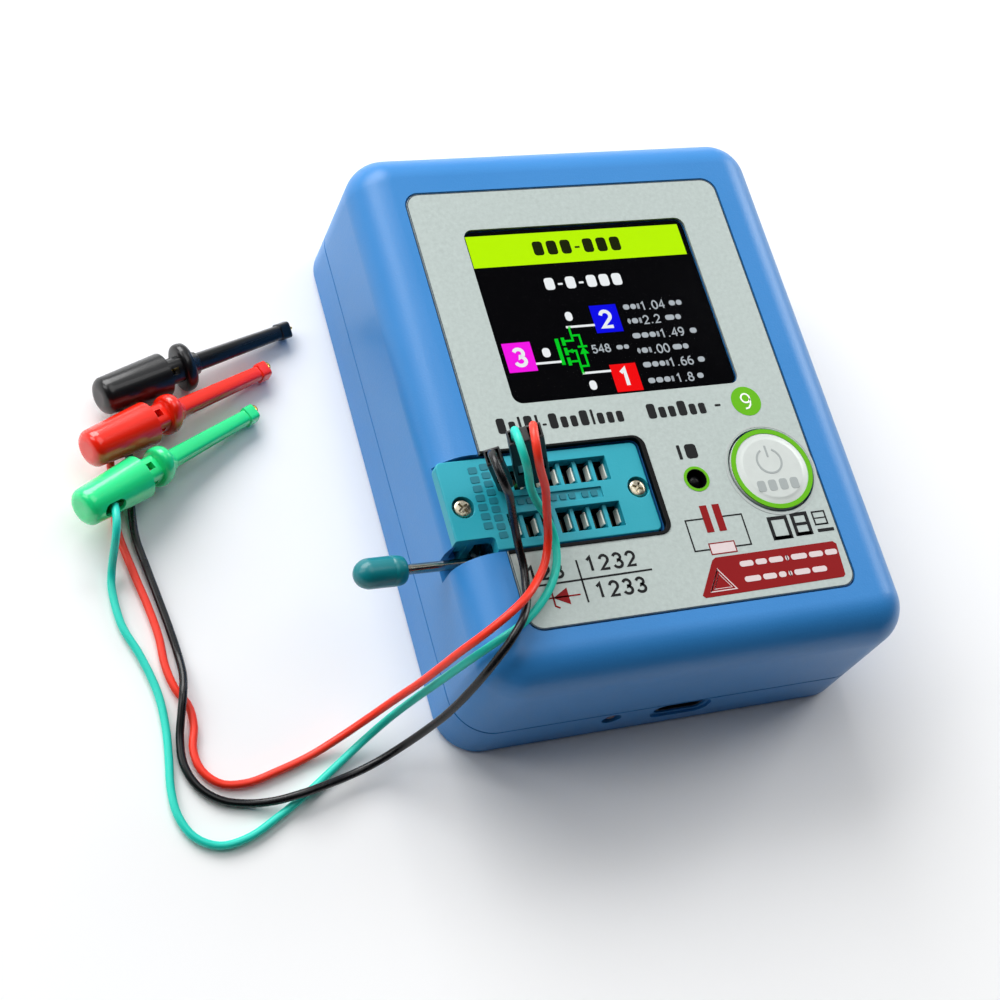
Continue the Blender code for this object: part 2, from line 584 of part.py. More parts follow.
for name, (foot, lean, half) in PLUGS.items():
    frame = plug_frame(foot, lean)
    rows = [
        ring(-half + 0.15, half - 0.15, -1.0, 1.0, 0.1, 0.0, 3),
        ring(-half, half, -1.15, 1.15, 0.15, 0.2, 3),
        ring(-half, half, -1.15, 1.15, 0.15, PLUG_LEN - 0.2, 3),
        ring(-half + 0.15, half - 0.15, -1.0, 1.0, 0.1, PLUG_LEN, 3),
    ]
    plug = loft(name, rows, M["black"], matrix=frame)
    ways = (-1.27, 1.27) if half > 2 else (0.0,)
    for k, w in enumerate(ways, 1):
        cut(
            plug,
            box(f"cut_{name}_bore_{k}", w - 0.8, w + 0.8, -0.65, 0.65, -1.0, 3.6, helper=True, matrix=frame),
            box(f"cut_{name}_latch_{k}", w - 0.7, w + 0.7, -2.0, -0.75, 4.2, 7.2, helper=True, matrix=frame),
        )


def sweep_square(name, points, half, mat):
    """A square bar through the points, kept level across X."""
    rings = [[Vector(p) + Vector((sx * half, sy * half, 0)) for sx, sy in ((-1, -1), (1, -1), (1, 1), (-1, 1))] for p in points]
    return loft(name, rings, mat)


def pin_points(plug, offset, x):
    foot, lean, _ = PLUGS[plug]
    frame = plug_frame(foot, lean)
    y = foot[1]
    points = [(x, y, 21.9), (x, y, 24.4)]
    for s in (0.6, 2.9):
        p = frame @ (Vector((offset, 0, s)) * MM) / MM
        points.append(tuple(p))
    return points


PIN_X = {"red": slot_x(4) - 0.45, "green": slot_x(5) - 0.45, "black": slot_x(6) - 0.45}
sweep_square("plug_pin_red", pin_points("plug_pair", 1.27, PIN_X["red"]), 0.2, M["gold"])
sweep_square("plug_pin_green", pin_points("plug_pair", -1.27, PIN_X["green"]), 0.2, M["gold"])
sweep_square("plug_pin_black", pin_points("plug_black", 0.0, PIN_X["black"]), 0.2, M["gold"])


# ---- wires ------------------------------------------------------------------------------------
def smooth_route(points, step):
    """Points a step apart on a smooth curve through the route points (centripetal Catmull-Rom)."""
    p = [Vector(q) for q in points]
    p = [p[0] * 2 - p[1]] + p + [p[-1] * 2 - p[-2]]
    fine = []
    for i in range(1, len(p) - 2):
        a, b, c, d = p[i - 1 : i + 3]
        t0 = 0.0
        t1 = t0 + (b - a).length ** 0.5
        t2 = t1 + (c - b).length ** 0.5
        t3 = t2 + (d - c).length ** 0.5
        for j in range(12):
            t = t1 + (t2 - t1) * j / 12
            a1 = a * ((t1 - t) / (t1 - t0)) + b * ((t - t0) / (t1 - t0))
            a2 = b * ((t2 - t) / (t2 - t1)) + c * ((t - t1) / (t2 - t1))
            a3 = c * ((t3 - t) / (t3 - t2)) + d * ((t - t2) / (t3 - t2))
            b1 = a1 * ((t2 - t) / (t2 - t0)) + a2 * ((t - t0) / (t2 - t0))
            b2 = a2 * ((t3 - t) / (t3 - t1)) + a3 * ((t - t1) / (t3 - t1))
            fine.append(b1 * ((t2 - t) / (t2 - t1)) + b2 * ((t - t1) / (t2 - t1)))
    fine.append(p[-2])
    total = [0.0]
    for a, b in zip(fine, fine[1:]):
        total.append(total[-1] + (b - a).length)
    count = max(2, round(total[-1] / step))
    out, k = [], 0
    for i in range(count + 1):
        want = total[-1] * i / count
        while k < len(fine) - 2 and total[k + 1] < want:
            k += 1
        span = total[k + 1] - total[k]
        f = (want - total[k]) / span if span else 0.0
        out.append(fine[k].lerp(fine[k + 1], min(max(f, 0.0), 1.0)))
    return out


def tube(name, points, radius, mat, resolution=2, matrix=None):
    data = bpy.data.curves.new(name, "CURVE")
    data.dimensions = "3D"
    data.bevel_depth = radius * MM
    data.bevel_resolution = resolution
    data.use_fill_caps = True
    data.twist_mode = "MINIMUM"
    spline = data.splines.new("POLY")
    spline.points.add(len(points) - 1)
    for k, q in enumerate(points):
        spline.points[k].co = (*(Vector(q) * MM), 1.0)
    data.materials.append(mat)
    obj = bpy.data.objects.new(name, data)
    bpy.context.scene.collection.objects.link(obj)
    if matrix is not None:
        obj.matrix_world = matrix
    return obj


for colour, route in ROUTES.items():
    tube(f"lead_{colour}", smooth_route(route, LEAD_STEP), LEAD_D / 2, M[f"wire_{colour}"])


# ---- hook clips -------------------------------------------------------------------------------
def clip_frame(rear, heading, rise, roll):
    along = Vector((*heading, 0)).normalized()
    along = Vector((along.x, along.y, rise)).normalized()
    level = Vector((0, 0, 1)).cross(along).normalized()
    up = along.cross(level)
    frame = Matrix((along, level, up)).transposed().to_4x4() @ Matrix.Rotation(roll, 4, "X")
    frame.translation = Vector(rear) * MM
    return frame


HOLE_DOWN = {"green": 0.45, "red": -1.2, "black": -1.2}
for colour, (rear, heading, rise, roll) in CLIPS.items():
    frame = clip_frame(rear, heading, rise, roll)
    plastic = M["clipblack" if colour == "black" else colour]
    profile = (
        (0.0, 1.5), (0.3, 2.3), (0.9, BARREL_R[0]), (BARREL_LEN - 0.2, BARREL_R[1]),
        (BARREL_LEN, BARREL_R[1] - 0.15), (BARREL_LEN, BARREL_BORE[1]), (1.6, BARREL_BORE[0]),
    )
    barrel = loft(f"clip_{colour}_barrel", [oval(r, r, s, 20) for s, r in profile], plastic, matrix=frame)
    # The wire hole looks to the side, away from the next clip.
    along = frame.to_3x3() @ Vector((1, 0, 0))
    out = Vector((along.y, -along.x, HOLE_DOWN[colour])).normalized()
    local = frame.to_3x3().inverted() @ out
    turn = math.atan2(local.z, local.y)
    hole = [[Vector((p.x, d, p.y)) for p in ring(2.1, 5.6, -1.0, 1.0, 0.95, 0.0, 4)] for d in (1.2, 4.4)]
    cut(barrel, loft(f"cut_{colour}_wire_hole", hole, helper=True, matrix=frame @ Matrix.Rotation(turn, 4, "X")))

    sections = [
        oval(1.75, 1.75, 6.4, 16, 0.4), oval(1.75, 1.75, 9.6, 16, 0.4),
        oval(1.95, 1.95, 10.0, 16, 0.4), oval(1.95, 1.95, FLANGE_S, 16, 0.4),
        oval(3.3, 2.45, FLANGE_S), oval(3.6, 2.75, FLANGE_S + 0.4), oval(3.6, 2.75, FLANGE_S + 1.4), oval(3.2, 2.35, FLANGE_S + 2.0),
        oval(1.9, 1.9, FLANGE_S + 2.0), oval(1.7, 1.7, FLANGE_S + 3.0),
        oval(1.35, 1.35, FLANGE_S + 3.0, 16, 0.3), oval(1.08, 1.08, TIP_S - 1.7, 16, 0.3),
        oval(1.28, 1.28, TIP_S - 1.7, 16, 0.6), oval(1.28, 1.28, TIP_S, 16, 0.6),
    ]
    sleeve = loft(f"clip_{colour}_sleeve", sections, plastic, matrix=frame)
    cut(
        sleeve,
        turned(f"cut_{colour}_nose_bore", "x", (0, 0, 0), ((4.0, 0.56), (TIP_S + 2, 0.56)), n=8, helper=True, matrix=frame),
        box(f"cut_{colour}_neck_slot", 7.6, 12.6, -3, 3, -0.55, 0.55, helper=True, matrix=frame),
    )
    # The slot parts the neck on both sides of the bore, so its back ends stay joined by the ring at station 6.4.

    hook_r = 0.24
    hook = [(2.0, 0.0, 0.0), (TIP_S + 0.4, 0.0, 0.0)]
    bend = 0.55
    for d in (22.5, 45, 67.5, 90, 112.5, 135, 157.5, 180):
        a = math.radians(d)
        hook.append((TIP_S + 0.4 + bend * math.sin(a), 0.0, -bend * (1 - math.cos(a))))
    tube(f"clip_{colour}_hook", hook, hook_r, M["gold"], 1, matrix=frame)

    turns, steps = 4.5, 8
    coil = []
    for k in range(int(turns * steps) + 1):
        a = 2 * math.pi * k / steps
        coil.append((2.0 + 4.0 * k / (turns * steps), 1.0 * math.cos(a), 1.0 * math.sin(a)))
    tube(f"clip_{colour}_spring", coil, 0.14, M["steel"], 0, matrix=frame)
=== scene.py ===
"""Looks for the component tester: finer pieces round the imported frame, printed marks, screen, camera and light.

Metres, +Z up, the same frame as the part. Dimensions below are in millimetres and are scaled by MM.
"""

import math

import bmesh
import bpy
from mathutils import Matrix, Vector


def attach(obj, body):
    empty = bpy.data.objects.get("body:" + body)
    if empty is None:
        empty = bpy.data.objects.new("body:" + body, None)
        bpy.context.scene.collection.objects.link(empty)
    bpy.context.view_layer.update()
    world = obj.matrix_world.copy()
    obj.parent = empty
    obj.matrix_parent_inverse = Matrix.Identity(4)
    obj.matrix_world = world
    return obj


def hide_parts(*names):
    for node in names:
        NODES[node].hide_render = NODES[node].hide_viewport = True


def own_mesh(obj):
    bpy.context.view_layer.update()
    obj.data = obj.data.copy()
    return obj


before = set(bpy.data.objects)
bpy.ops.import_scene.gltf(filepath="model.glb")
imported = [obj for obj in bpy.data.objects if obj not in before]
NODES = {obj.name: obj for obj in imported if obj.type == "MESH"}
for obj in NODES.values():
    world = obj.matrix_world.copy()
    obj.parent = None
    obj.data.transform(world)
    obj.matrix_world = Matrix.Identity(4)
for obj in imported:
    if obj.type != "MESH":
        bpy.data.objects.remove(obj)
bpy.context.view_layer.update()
MM = 0.001

# ---- camera -----------------------------------------------------------------------------------
camera_data = bpy.data.cameras.new("camera")
camera_data.lens = 73.77
camera_data.sensor_width = 36.0
camera_data.clip_start = 0.01
camera = bpy.data.objects.new("camera", camera_data)
bpy.context.scene.collection.objects.link(camera)
camera.matrix_world = Matrix.Translation(Vector((-133.8, -119.5, 261.5)) * MM) @ Matrix((
    Vector((0.91523, -0.26204, 0.30608)), Vector((0.10720, 0.89062, 0.44193)), Vector((-0.38840, -0.37166, 0.84322)),
)).transposed().to_4x4()
bpy.context.scene.camera = camera
bpy.context.scene.view_settings.view_transform = "Standard"

# ---- layout, as in the part -------------------------------------------------------------------
GAP = 0.3
CASE_HX, CASE_HY, CASE_H = 33.25, 42.75, 26.0
CORNER_R = 6.2
BASE_R = 0.7
FILLET_R = 5.7
WALL = 2.0
SPLIT_Z = 7.8
LIP_TOP = 9.6
FLOOR = 2.0
TOP_INNER_Z = 24.0
BOSS_X, BOSS_Y = 26.4, 35.9
PANEL = (-26.35, 24.7, -35.1, 34.1)
PANEL_Z = (25.6, 26.0)
WINDOW = (-19.0, 17.3, -1.4, 27.5)
SOCKET_HOLE = (-32.3, -1.9, -23.3, -8.5)
BUTTON_C = (17.4, -15.9)
BUTTON_R = 6.45
IR_C = (5.1, -16.0)
PCB_Z = (11.2, 12.8)
PITCH = 2.54
SLOT_X0 = -8.55
ROWS = {"front": -19.4, "rear": -12.4}
COVER = (-33.1, -2.3, -22.9, -8.9)
COVER_Z = (23.7, 25.6)
SHAFT_X, SHAFT_Z = -28.3, 20.0
LEVER_Y = -21.9
LEVER_RISE = math.radians(3.0)
SCREW_Y = -16.0
SCREW_X = {"left": -30.7, "right": -4.05}
SCREW_FOOT = {"left": 19.8, "right": 16.6}
USB_X, USB_Z = 2.45, 5.35
LED_X, LED_Z = -8.9, 5.7
LEAD_D = 1.15
PLUG_LEN = 14.0
ROUTES = {
    "green": (
        (-26.93, -12.76, 39.79), (-27.22, -12.73, 40.48), (-27.88, -13.22, 42.07), (-28.26, -14.62, 43.11),
        (-28.23, -16.41, 43.2), (-27.78, -17.9, 42.3), (-27.11, -18.52, 40.76), (-25.3, -18.9, 36.3),
        (-23.1, -19.3, 32.3), (-20.9, -20.8, 29.4), (-19.9, -23.2, 27.6), (-20.3, -26.2, 27),
        (-22, -29.3, 26.95), (-24.8, -32.2, 26.95), (-28, -34.4, 26.95), (-31.3, -35.8, 26.2),
        (-34, -36.5, 23.2), (-35.7, -36.6, 18.8), (-37, -36.4, 13.6), (-38.7, -36.4, 8.4),
        (-41, -37, 4.2), (-44.4, -38.7, 1.6), (-48.8, -41.4, 0.7), (-53.4, -44.3, 0.7),
        (-58.3, -47, 0.7), (-63.1, -49.2, 0.7), (-67.2, -49.6, 0.7), (-70.3, -47.8, 0.7),
        (-71.8, -44.6, 0.7), (-72, -40.8, 0.7), (-71.4, -36.6, 0.7), (-70.9, -32, 0.7),
        (-71, -27, 0.7), (-72.3, -21.3, 0.7), (-73.9, -16.6, 0.7), (-74.18, -10.83, 0.7),
        (-73.95, -9.2, 1.16), (-73.78, -8.03, 2.4), (-73.63, -7.02, 4.32), (-73.48, -6.01, 6.24),
        (-73.39, -5.37, 7.05), (-73.26, -4.48, 7.56), (-73.11, -3.46, 7.7), (-72.97, -2.47, 7.45),
        (-72.8, -1.3, 6.9),
    ),
    "red": (
        (-24.59, -12.76, 40.78), (-24.88, -12.73, 41.47), (-25.64, -13.22, 43.06), (-26.25, -14.64, 44.02),
        (-26.49, -16.45, 43.99), (-26.26, -17.95, 42.99), (-25.65, -18.58, 41.38), (-24, -20, 37.8),
        (-23, -21, 34.6), (-22.2, -22.5, 31.6), (-22, -24.5, 29.4), (-22.8, -26.8, 28.4),
        (-24.8, -29.3, 28.6), (-27.3, -31.6, 29.35), (-30.2, -33.5, 29.3), (-33.4, -35, 27.4),
        (-35.9, -35.6, 23.3), (-37.4, -35.7, 18.3), (-38.9, -35.7, 13.2), (-40.9, -35.8, 8.6),
        (-43.8, -36.5, 4.6), (-47.7, -37.8, 1.9), (-52.2, -39.4, 0.75), (-57.2, -40.8, 0.7),
        (-61.6, -41.7, 0.7), (-65.2, -41.2, 0.7), (-67.4, -38.9, 0.7), (-67.9, -35.8, 0.7),
        (-67.1, -32.6, 0.7), (-67.2, -29.6, 0.7), (-68.5, -26.9, 0.7), (-69.2, -23.4, 0.7),
        (-69.2, -19, 0.7), (-69.8, -14.2, 0.7), (-70.7, -9.3, 0.7), (-71.75, -1.5, 0.7),
        (-71.01, 2.07, 0.7), (-71.09, 3.46, 0.78), (-71.16, 4.76, 1.25), (-71.22, 5.66, 1.98),
        (-71.27, 6.64, 3.05), (-71.33, 7.62, 4.12),
    ),
    "black": (
        (-30.7, -15.17, 39.4), (-31.03, -15.27, 40.06), (-31.71, -16.03, 41.53), (-31.97, -17.6, 42.36),
        (-31.7, -19.37, 42.24), (-31.01, -20.66, 41.21), (-30.17, -20.99, 39.66), (-28.6, -21, 36),
        (-26.9, -21.9, 31.6), (-25.8, -23.8, 28.6), (-25.3, -26.3, 27.2), (-25.7, -29, 27),
        (-26.6, -31.7, 27.7), (-28.4, -34.4, 28.8), (-30.7, -36.9, 28.2), (-33.2, -39.1, 24.9),
        (-35.1, -40.4, 20), (-36.6, -41, 14.6), (-38.3, -41.2, 9.3), (-40.6, -41.6, 5.2),
        (-43.8, -42.4, 2.5), (-47.4, -43.3, 1.75), (-51.2, -44.2, 2.15), (-55, -44.9, 2.3),
        (-58.9, -45, 1.3), (-62.4, -44.5, 0.7), (-65.8, -43.4, 0.7), (-68.4, -41, 0.7),
        (-69.6, -37.6, 0.7), (-69.4, -34.2, 0.8), (-68.7, -31, 1.8), (-68, -28.3, 2.45),
        (-67.3, -25.5, 1.7), (-67.1, -22.2, 0.7), (-67.5, -18, 0.7), (-68.1, -13.5, 0.7),
        (-68.8, -8.5, 0.7), (-69.4, -3.5, 0.7), (-68.95, 2, 0.7), (-68.2, 7, 0.7),
        (-67.28, 12.38, 0.7), (-67.33, 13.78, 0.74), (-67.36, 14.88, 0.98), (-67.39, 15.58, 1.35),
        (-67.42, 16.5, 2.4),
    ),
}
PLUGS = {
    "plug_pair": ((-20.1, -13.3, 27.0), (-0.426, 0.041, 1.0), 2.35),
    "plug_black": ((-24.25, -13.3, 26.6), (-0.504, -0.146, 1.0), 1.1),
}
CLIPS = {
    "green": ((-77.49, -1.35, 6.6), (0.8897, 0.4565), -0.155, math.radians(90)),
    "red": ((-74.94, 7.67, 6.4), (0.9188, 0.3948), -0.15, math.radians(90)),
    "black": ((-71.23, 16.78, 4.5), (0.9481, 0.3179), -0.092, math.radians(30)),
}
BARREL_LEN = 10.8
BARREL_R, BARREL_BORE = (2.75, 3.25), (2.3, 2.75)
FLANGE_S, TIP_S = 13.4, 33.0
HOLE_DOWN = {"green": 0.45, "red": -1.2, "black": -1.2}

# ---- materials --------------------------------------------------------------------------------
def lin(r, g, b):
    return tuple(((c / 255.0) / 12.92 if c <= 10 else ((c / 255.0 + 0.055) / 1.055) ** 2.4) for c in (r, g, b))


def finish_mat(name, rgb, rough=0.4, metallic=0.0, grain=4000.0, bump=0.15, depth=2e-5, mottle=0.04, blotch=60.0,
               rough_var=0.06, coat=0.0, coat_rough=0.1, stretch=(1, 1, 1), scratch=0.0, sheen=0.0, ior=1.45, subsurface=0.0):
    """A moulded or plated surface: fine grain in the bump, soft mottling in colour and roughness, faint scratches."""
    mat = bpy.data.materials.new(name)
    mat.use_nodes = True
    nt = mat.node_tree
    sh = nt.nodes["Principled BSDF"]
    base = lin(*rgb)
    sh.inputs["Metallic"].default_value = metallic
    sh.inputs["IOR"].default_value = ior
    if coat:
        sh.inputs["Coat Weight"].default_value = coat
        sh.inputs["Coat Roughness"].default_value = coat_rough
    if subsurface:
        sh.inputs["Subsurface Weight"].default_value = subsurface
        sh.inputs["Subsurface Scale"].default_value = 0.001
    co = nt.nodes.new("ShaderNodeTexCoord")
    mp = nt.nodes.new("ShaderNodeMapping")
    mp.inputs["Scale"].default_value = stretch
    nt.links.new(co.outputs["Object"], mp.inputs["Vector"])
    fine = nt.nodes.new("ShaderNodeTexNoise")
    fine.inputs["Scale"].default_value = grain
    fine.inputs["Detail"].default_value = 3.0
    nt.links.new(mp.outputs["Vector"], fine.inputs["Vector"])
    wide = nt.nodes.new("ShaderNodeTexNoise")
    wide.inputs["Scale"].default_value = blotch
    wide.inputs["Detail"].default_value = 4.0
    nt.links.new(co.outputs["Object"], wide.inputs["Vector"])
    ramp = nt.nodes.new("ShaderNodeMix")
    ramp.data_type = "RGBA"
    ramp.inputs[6].default_value = (*[c * (1 - mottle) for c in base], 1)
    ramp.inputs[7].default_value = (*[min(1.0, c * (1 + mottle)) for c in base], 1)
    blend = nt.nodes.new("ShaderNodeMath")
    blend.operation = "MULTIPLY_ADD"
    nt.links.new(wide.outputs["Fac"], blend.inputs[0])
    blend.inputs[1].default_value = 0.6
    half = nt.nodes.new("ShaderNodeMath")
    half.operation = "MULTIPLY"
    nt.links.new(fine.outputs["Fac"], half.inputs[0])
    half.inputs[1].default_value = 0.4
    nt.links.new(half.outputs[0], blend.inputs[2])
    nt.links.new(blend.outputs[0], ramp.inputs["Factor"])
    nt.links.new(ramp.outputs[2], sh.inputs["Base Color"])
    rr = nt.nodes.new("ShaderNodeMapRange")
    rr.inputs["From Min"].default_value = 0.3
    rr.inputs["From Max"].default_value = 0.7
    rr.inputs["To Min"].default_value = max(0.02, rough - rough_var)
    rr.inputs["To Max"].default_value = rough + rough_var
    nt.links.new(blend.outputs[0], rr.inputs["Value"])
    nt.links.new(rr.outputs["Result"], sh.inputs["Roughness"])
    height = fine.outputs["Fac"]
    if scratch:
        sm = nt.nodes.new("ShaderNodeMapping")
        sm.inputs["Scale"].default_value = (1.0, 14.0, 1.0)
        sm.inputs["Rotation"].default_value = (0, 0, 0.4)
        nt.links.new(co.outputs["Object"], sm.inputs["Vector"])
        sn = nt.nodes.new("ShaderNodeTexNoise")
        sn.inputs["Scale"].default_value = 180.0
        sn.inputs["Detail"].default_value = 5.0
        nt.links.new(sm.outputs["Vector"], sn.inputs["Vector"])
        add = nt.nodes.new("ShaderNodeMath")
        add.operation = "MULTIPLY_ADD"
        nt.links.new(sn.outputs["Fac"], add.inputs[0])
        add.inputs[1].default_value = scratch
        nt.links.new(fine.outputs["Fac"], add.inputs[2])
        height = add.outputs[0]
    bp = nt.nodes.new("ShaderNodeBump")
    bp.inputs["Strength"].default_value = bump
    bp.inputs["Distance"].default_value = depth
    nt.links.new(height, bp.inputs["Height"])
    nt.links.new(bp.outputs["Normal"], sh.inputs["Normal"])
    mat.diffuse_color = (*base, 1)
    return mat


def glow_mat(name, rgb, strength=1.0):
    """A lit screen element: the colour glows through a fine pixel grid."""
    mat = bpy.data.materials.new(name)
    mat.use_nodes = True
    nt = mat.node_tree
    sh = nt.nodes["Principled BSDF"]
    sh.inputs["Roughness"].default_value = 0.45
    sh.inputs["IOR"].default_value = 1.05
    sh.inputs["Emission Strength"].default_value = strength * 0.85
    co = nt.nodes.new("ShaderNodeTexCoord")
    wave = nt.nodes.new("ShaderNodeTexWave")
    wave.inputs["Scale"].default_value = 2200.0
    nt.links.new(co.outputs["Object"], wave.inputs["Vector"])
    mix = nt.nodes.new("ShaderNodeMix")
    mix.data_type = "RGBA"
    base = lin(*rgb)
    mix.inputs[6].default_value = (*[c * 0.9 for c in base], 1)
    mix.inputs[7].default_value = (*base, 1)
    nt.links.new(wave.outputs["Fac"], mix.inputs["Factor"])
    nt.links.new(mix.outputs[2], sh.inputs["Emission Color"])
    sh.inputs["Base Color"].default_value = (*[c * 0.25 for c in base], 1)
    return mat


M = {
    "case": finish_mat("case_blue", (50, 130, 198), rough=0.35, grain=3600, bump=0.6, depth=3e-5, mottle=0.05, blotch=60, rough_var=0.06, scratch=0.4),
    "panel": finish_mat("silver_film", (180, 191, 187), rough=0.42, metallic=0.25, grain=3600, bump=0.45, depth=1.5e-5, mottle=0.2, blotch=1500, rough_var=0.08),
    # Dark blue-grey film edge: painted shade for the gap round the face film.
    "panel_edge_painted_shade": finish_mat("film_edge_painted_shade", (44, 62, 74), rough=0.4, mottle=0.1),
    "glass": finish_mat("screen_black", (1, 1, 2), rough=0.5, grain=800, bump=0.02, mottle=0.1, rough_var=0.03, ior=1.05),
    "black": finish_mat("black_plastic", (9, 9, 11), rough=0.34, grain=3500, bump=0.18, mottle=0.12, rough_var=0.08, scratch=0.4),
    "bead": finish_mat("black_bead", (3, 3, 4), rough=0.4, grain=2500, bump=0.05, mottle=0.1, rough_var=0.04, ior=1.25),
    "key": finish_mat("key_film", (203, 209, 205), rough=0.38, metallic=0.15, grain=9000, bump=0.22, depth=1.5e-5, mottle=0.05, blotch=900, rough_var=0.06),
    "pcb": finish_mat("board_green", (16, 92, 44), rough=0.4, grain=2500, bump=0.2, mottle=0.18, blotch=400, coat=0.3),
    "tin": finish_mat("tin_plate", (200, 200, 198), rough=0.3, metallic=1.0, grain=2000, bump=0.1, mottle=0.08, scratch=0.5),
    "dark_tin": finish_mat("dark_tin", (58, 58, 62), rough=0.42, metallic=0.9, grain=2000, bump=0.1, mottle=0.12),
    "cell": finish_mat("cell_foil", (150, 155, 162), rough=0.35, metallic=0.7, grain=900, bump=0.3, mottle=0.08),
    # The LED lens is coloured dark grey-red: painted shade for the lens down in its hole in the front wall.
    "lens": finish_mat("light_lens", (92, 60, 60), rough=0.15, grain=1500, bump=0.05, mottle=0.1, coat=0.3),
    "teal": finish_mat("socket_teal", (30, 160, 178), rough=0.40, grain=3800, bump=0.25, depth=3e-5, mottle=0.07, blotch=160, rough_var=0.08, scratch=0.6),
    # A darker copy of the socket teal: painted shade for the cover's moulded relief.
    "teal_painted_shade": finish_mat("socket_teal_relief_painted_shade", (12, 118, 134), rough=0.45, grain=3800, bump=0.25, mottle=0.08, blotch=160),
    "knob": finish_mat("knob_teal", (2, 122, 130), rough=0.36, grain=3000, bump=0.12, mottle=0.09, blotch=220, rough_var=0.06, coat=0.25, coat_rough=0.15, scratch=0.4),
    "steel": finish_mat("bright_steel", (168, 164, 154), rough=0.18, metallic=1.0, grain=2500, bump=0.12, mottle=0.08, blotch=700, rough_var=0.08, scratch=0.8),
    "screw": finish_mat("plated_screw", (196, 188, 166), rough=0.27, metallic=1.0, grain=3000, bump=0.2, mottle=0.14, blotch=900, rough_var=0.1, scratch=0.8),
    "gold": finish_mat("gold_plate", (226, 188, 92), rough=0.22, metallic=1.0, grain=3000, bump=0.1, mottle=0.1, blotch=900, rough_var=0.08, scratch=0.5),
    # The contact leaf is coloured dark brass: painted shade for the leaf down in its slot.
    "contact_painted_shade": finish_mat("contact_leaf_painted_shade", (62, 55, 42), rough=0.35, metallic=0.8, grain=3000, bump=0.15, mottle=0.12, blotch=800),
    # The contact lip is coloured near white: a painted highlight where the lip catches the light.
    "contact": finish_mat("contact_plate_painted_highlight", (255, 250, 232), rough=0.35, metallic=0.3, grain=3000, bump=0.15, mottle=0.12, blotch=800, rough_var=0.1, scratch=0.8),
    "green": finish_mat("clip_green", (34, 232, 142), rough=0.24, grain=2600, bump=0.04, depth=1e-5, mottle=0.04, blotch=200, rough_var=0.04, coat=0.7, coat_rough=0.07, subsurface=0.1),
    "red": finish_mat("clip_red", (255, 38, 14), rough=0.24, grain=2600, bump=0.04, depth=1e-5, mottle=0.04, blotch=200, rough_var=0.04, coat=0.7, coat_rough=0.07, subsurface=0.1),
    "clipblack": finish_mat("clip_black", (12, 12, 14), rough=0.3, grain=2600, bump=0.04, depth=1e-5, mottle=0.1, blotch=200, rough_var=0.04, coat=0.35, coat_rough=0.07),
    "wire_green": finish_mat("wire_green", (34, 214, 192), rough=0.34, grain=1800, bump=0.12, mottle=0.05, blotch=150, rough_var=0.06, subsurface=0.05),
    "wire_red": finish_mat("wire_red", (255, 58, 36), rough=0.34, grain=1800, bump=0.12, mottle=0.05, blotch=150, rough_var=0.06, subsurface=0.05),
    "wire_black": finish_mat("wire_black", (12, 12, 14), rough=0.28, grain=1800, bump=0.12, mottle=0.1, blotch=150, rough_var=0.06),
    "ink": finish_mat("ink_black", (10, 11, 14), rough=0.45, grain=3000, bump=0.05, mottle=0.1, ior=1.3),
    "ink_white": finish_mat("ink_white", (250, 250, 248), rough=0.4, grain=3000, bump=0.08, mottle=0.03),
    "ink_red": finish_mat("ink_red", (138, 4, 10), rough=0.5, ior=1.25, grain=3000, bump=0.12, mottle=0.06, blotch=300),
    "ink_pale": finish_mat("ink_pale", (218, 202, 202), rough=0.42, grain=3000, bump=0.1, mottle=0.05),
    "ink_green": finish_mat("ink_green", (98, 178, 8), rough=0.5, ior=1.25, grain=3000, bump=0.12, mottle=0.06, blotch=300),
    "ink_grey": finish_mat("ink_grey", (160, 167, 166), rough=0.42, grain=3000, bump=0.1, mottle=0.05),
    "ink_shade": finish_mat("ink_shade", (182, 189, 187), rough=0.42, metallic=0.15, grain=9000, bump=0.2, mottle=0.05),
    "lime": glow_mat("glow_lime", (186, 246, 0), 0.95),
    "white": glow_mat("glow_white", (236, 240, 242), 0.95),
    "grey": glow_mat("glow_grey", (176, 184, 190), 0.9),
    "blue": glow_mat("glow_blue", (10, 10, 232), 0.95),
    "magenta": glow_mat("glow_magenta", (246, 24, 232), 0.95),
    "red_lit": glow_mat("glow_red", (244, 10, 14), 0.95),
    "green_lit": glow_mat("glow_green", (0, 206, 34), 0.95),
    "dark_ink": glow_mat("glow_olive", (36, 46, 8), 0.5),
}
clear = bpy.data.materials.new("clear_pane")
clear.use_nodes = True
cs = clear.node_tree.nodes["Principled BSDF"]
cs.inputs["Base Color"].default_value = (0.02, 0.02, 0.025, 1)
cs.inputs["Alpha"].default_value = 0.03
cs.inputs["Roughness"].default_value = 0.06
cs.inputs["IOR"].default_value = 1.12
cn = clear.node_tree.nodes.new("ShaderNodeTexNoise")
cn.inputs["Scale"].default_value = 300.0
cb = clear.node_tree.nodes.new("ShaderNodeBump")
cb.inputs["Strength"].default_value = 0.03
cb.inputs["Distance"].default_value = 1e-5
cc = clear.node_tree.nodes.new("ShaderNodeTexCoord")
clear.node_tree.links.new(cc.outputs["Object"], cn.inputs["Vector"])
clear.node_tree.links.new(cn.outputs["Fac"], cb.inputs["Height"])
clear.node_tree.links.new(cb.outputs["Normal"], cs.inputs["Normal"])
M["clear"] = clear


# ---- modelling helpers ------------------------------------------------------------------------
def ring(x0, x1, y0, y1, r, z, n=14):
    r = max(r, 0.01)
    points = []
    for cx, cy, start in ((x1 - r, y1 - r, 0.0), (x0 + r, y1 - r, 90.0), (x0 + r, y0 + r, 180.0), (x1 - r, y0 + r, 270.0)):
        for i in range(n):
            a = math.radians(start + 90.0 * i / (n - 1))
            points.append(Vector((cx + r * math.cos(a), cy + r * math.sin(a), z)))
    return points


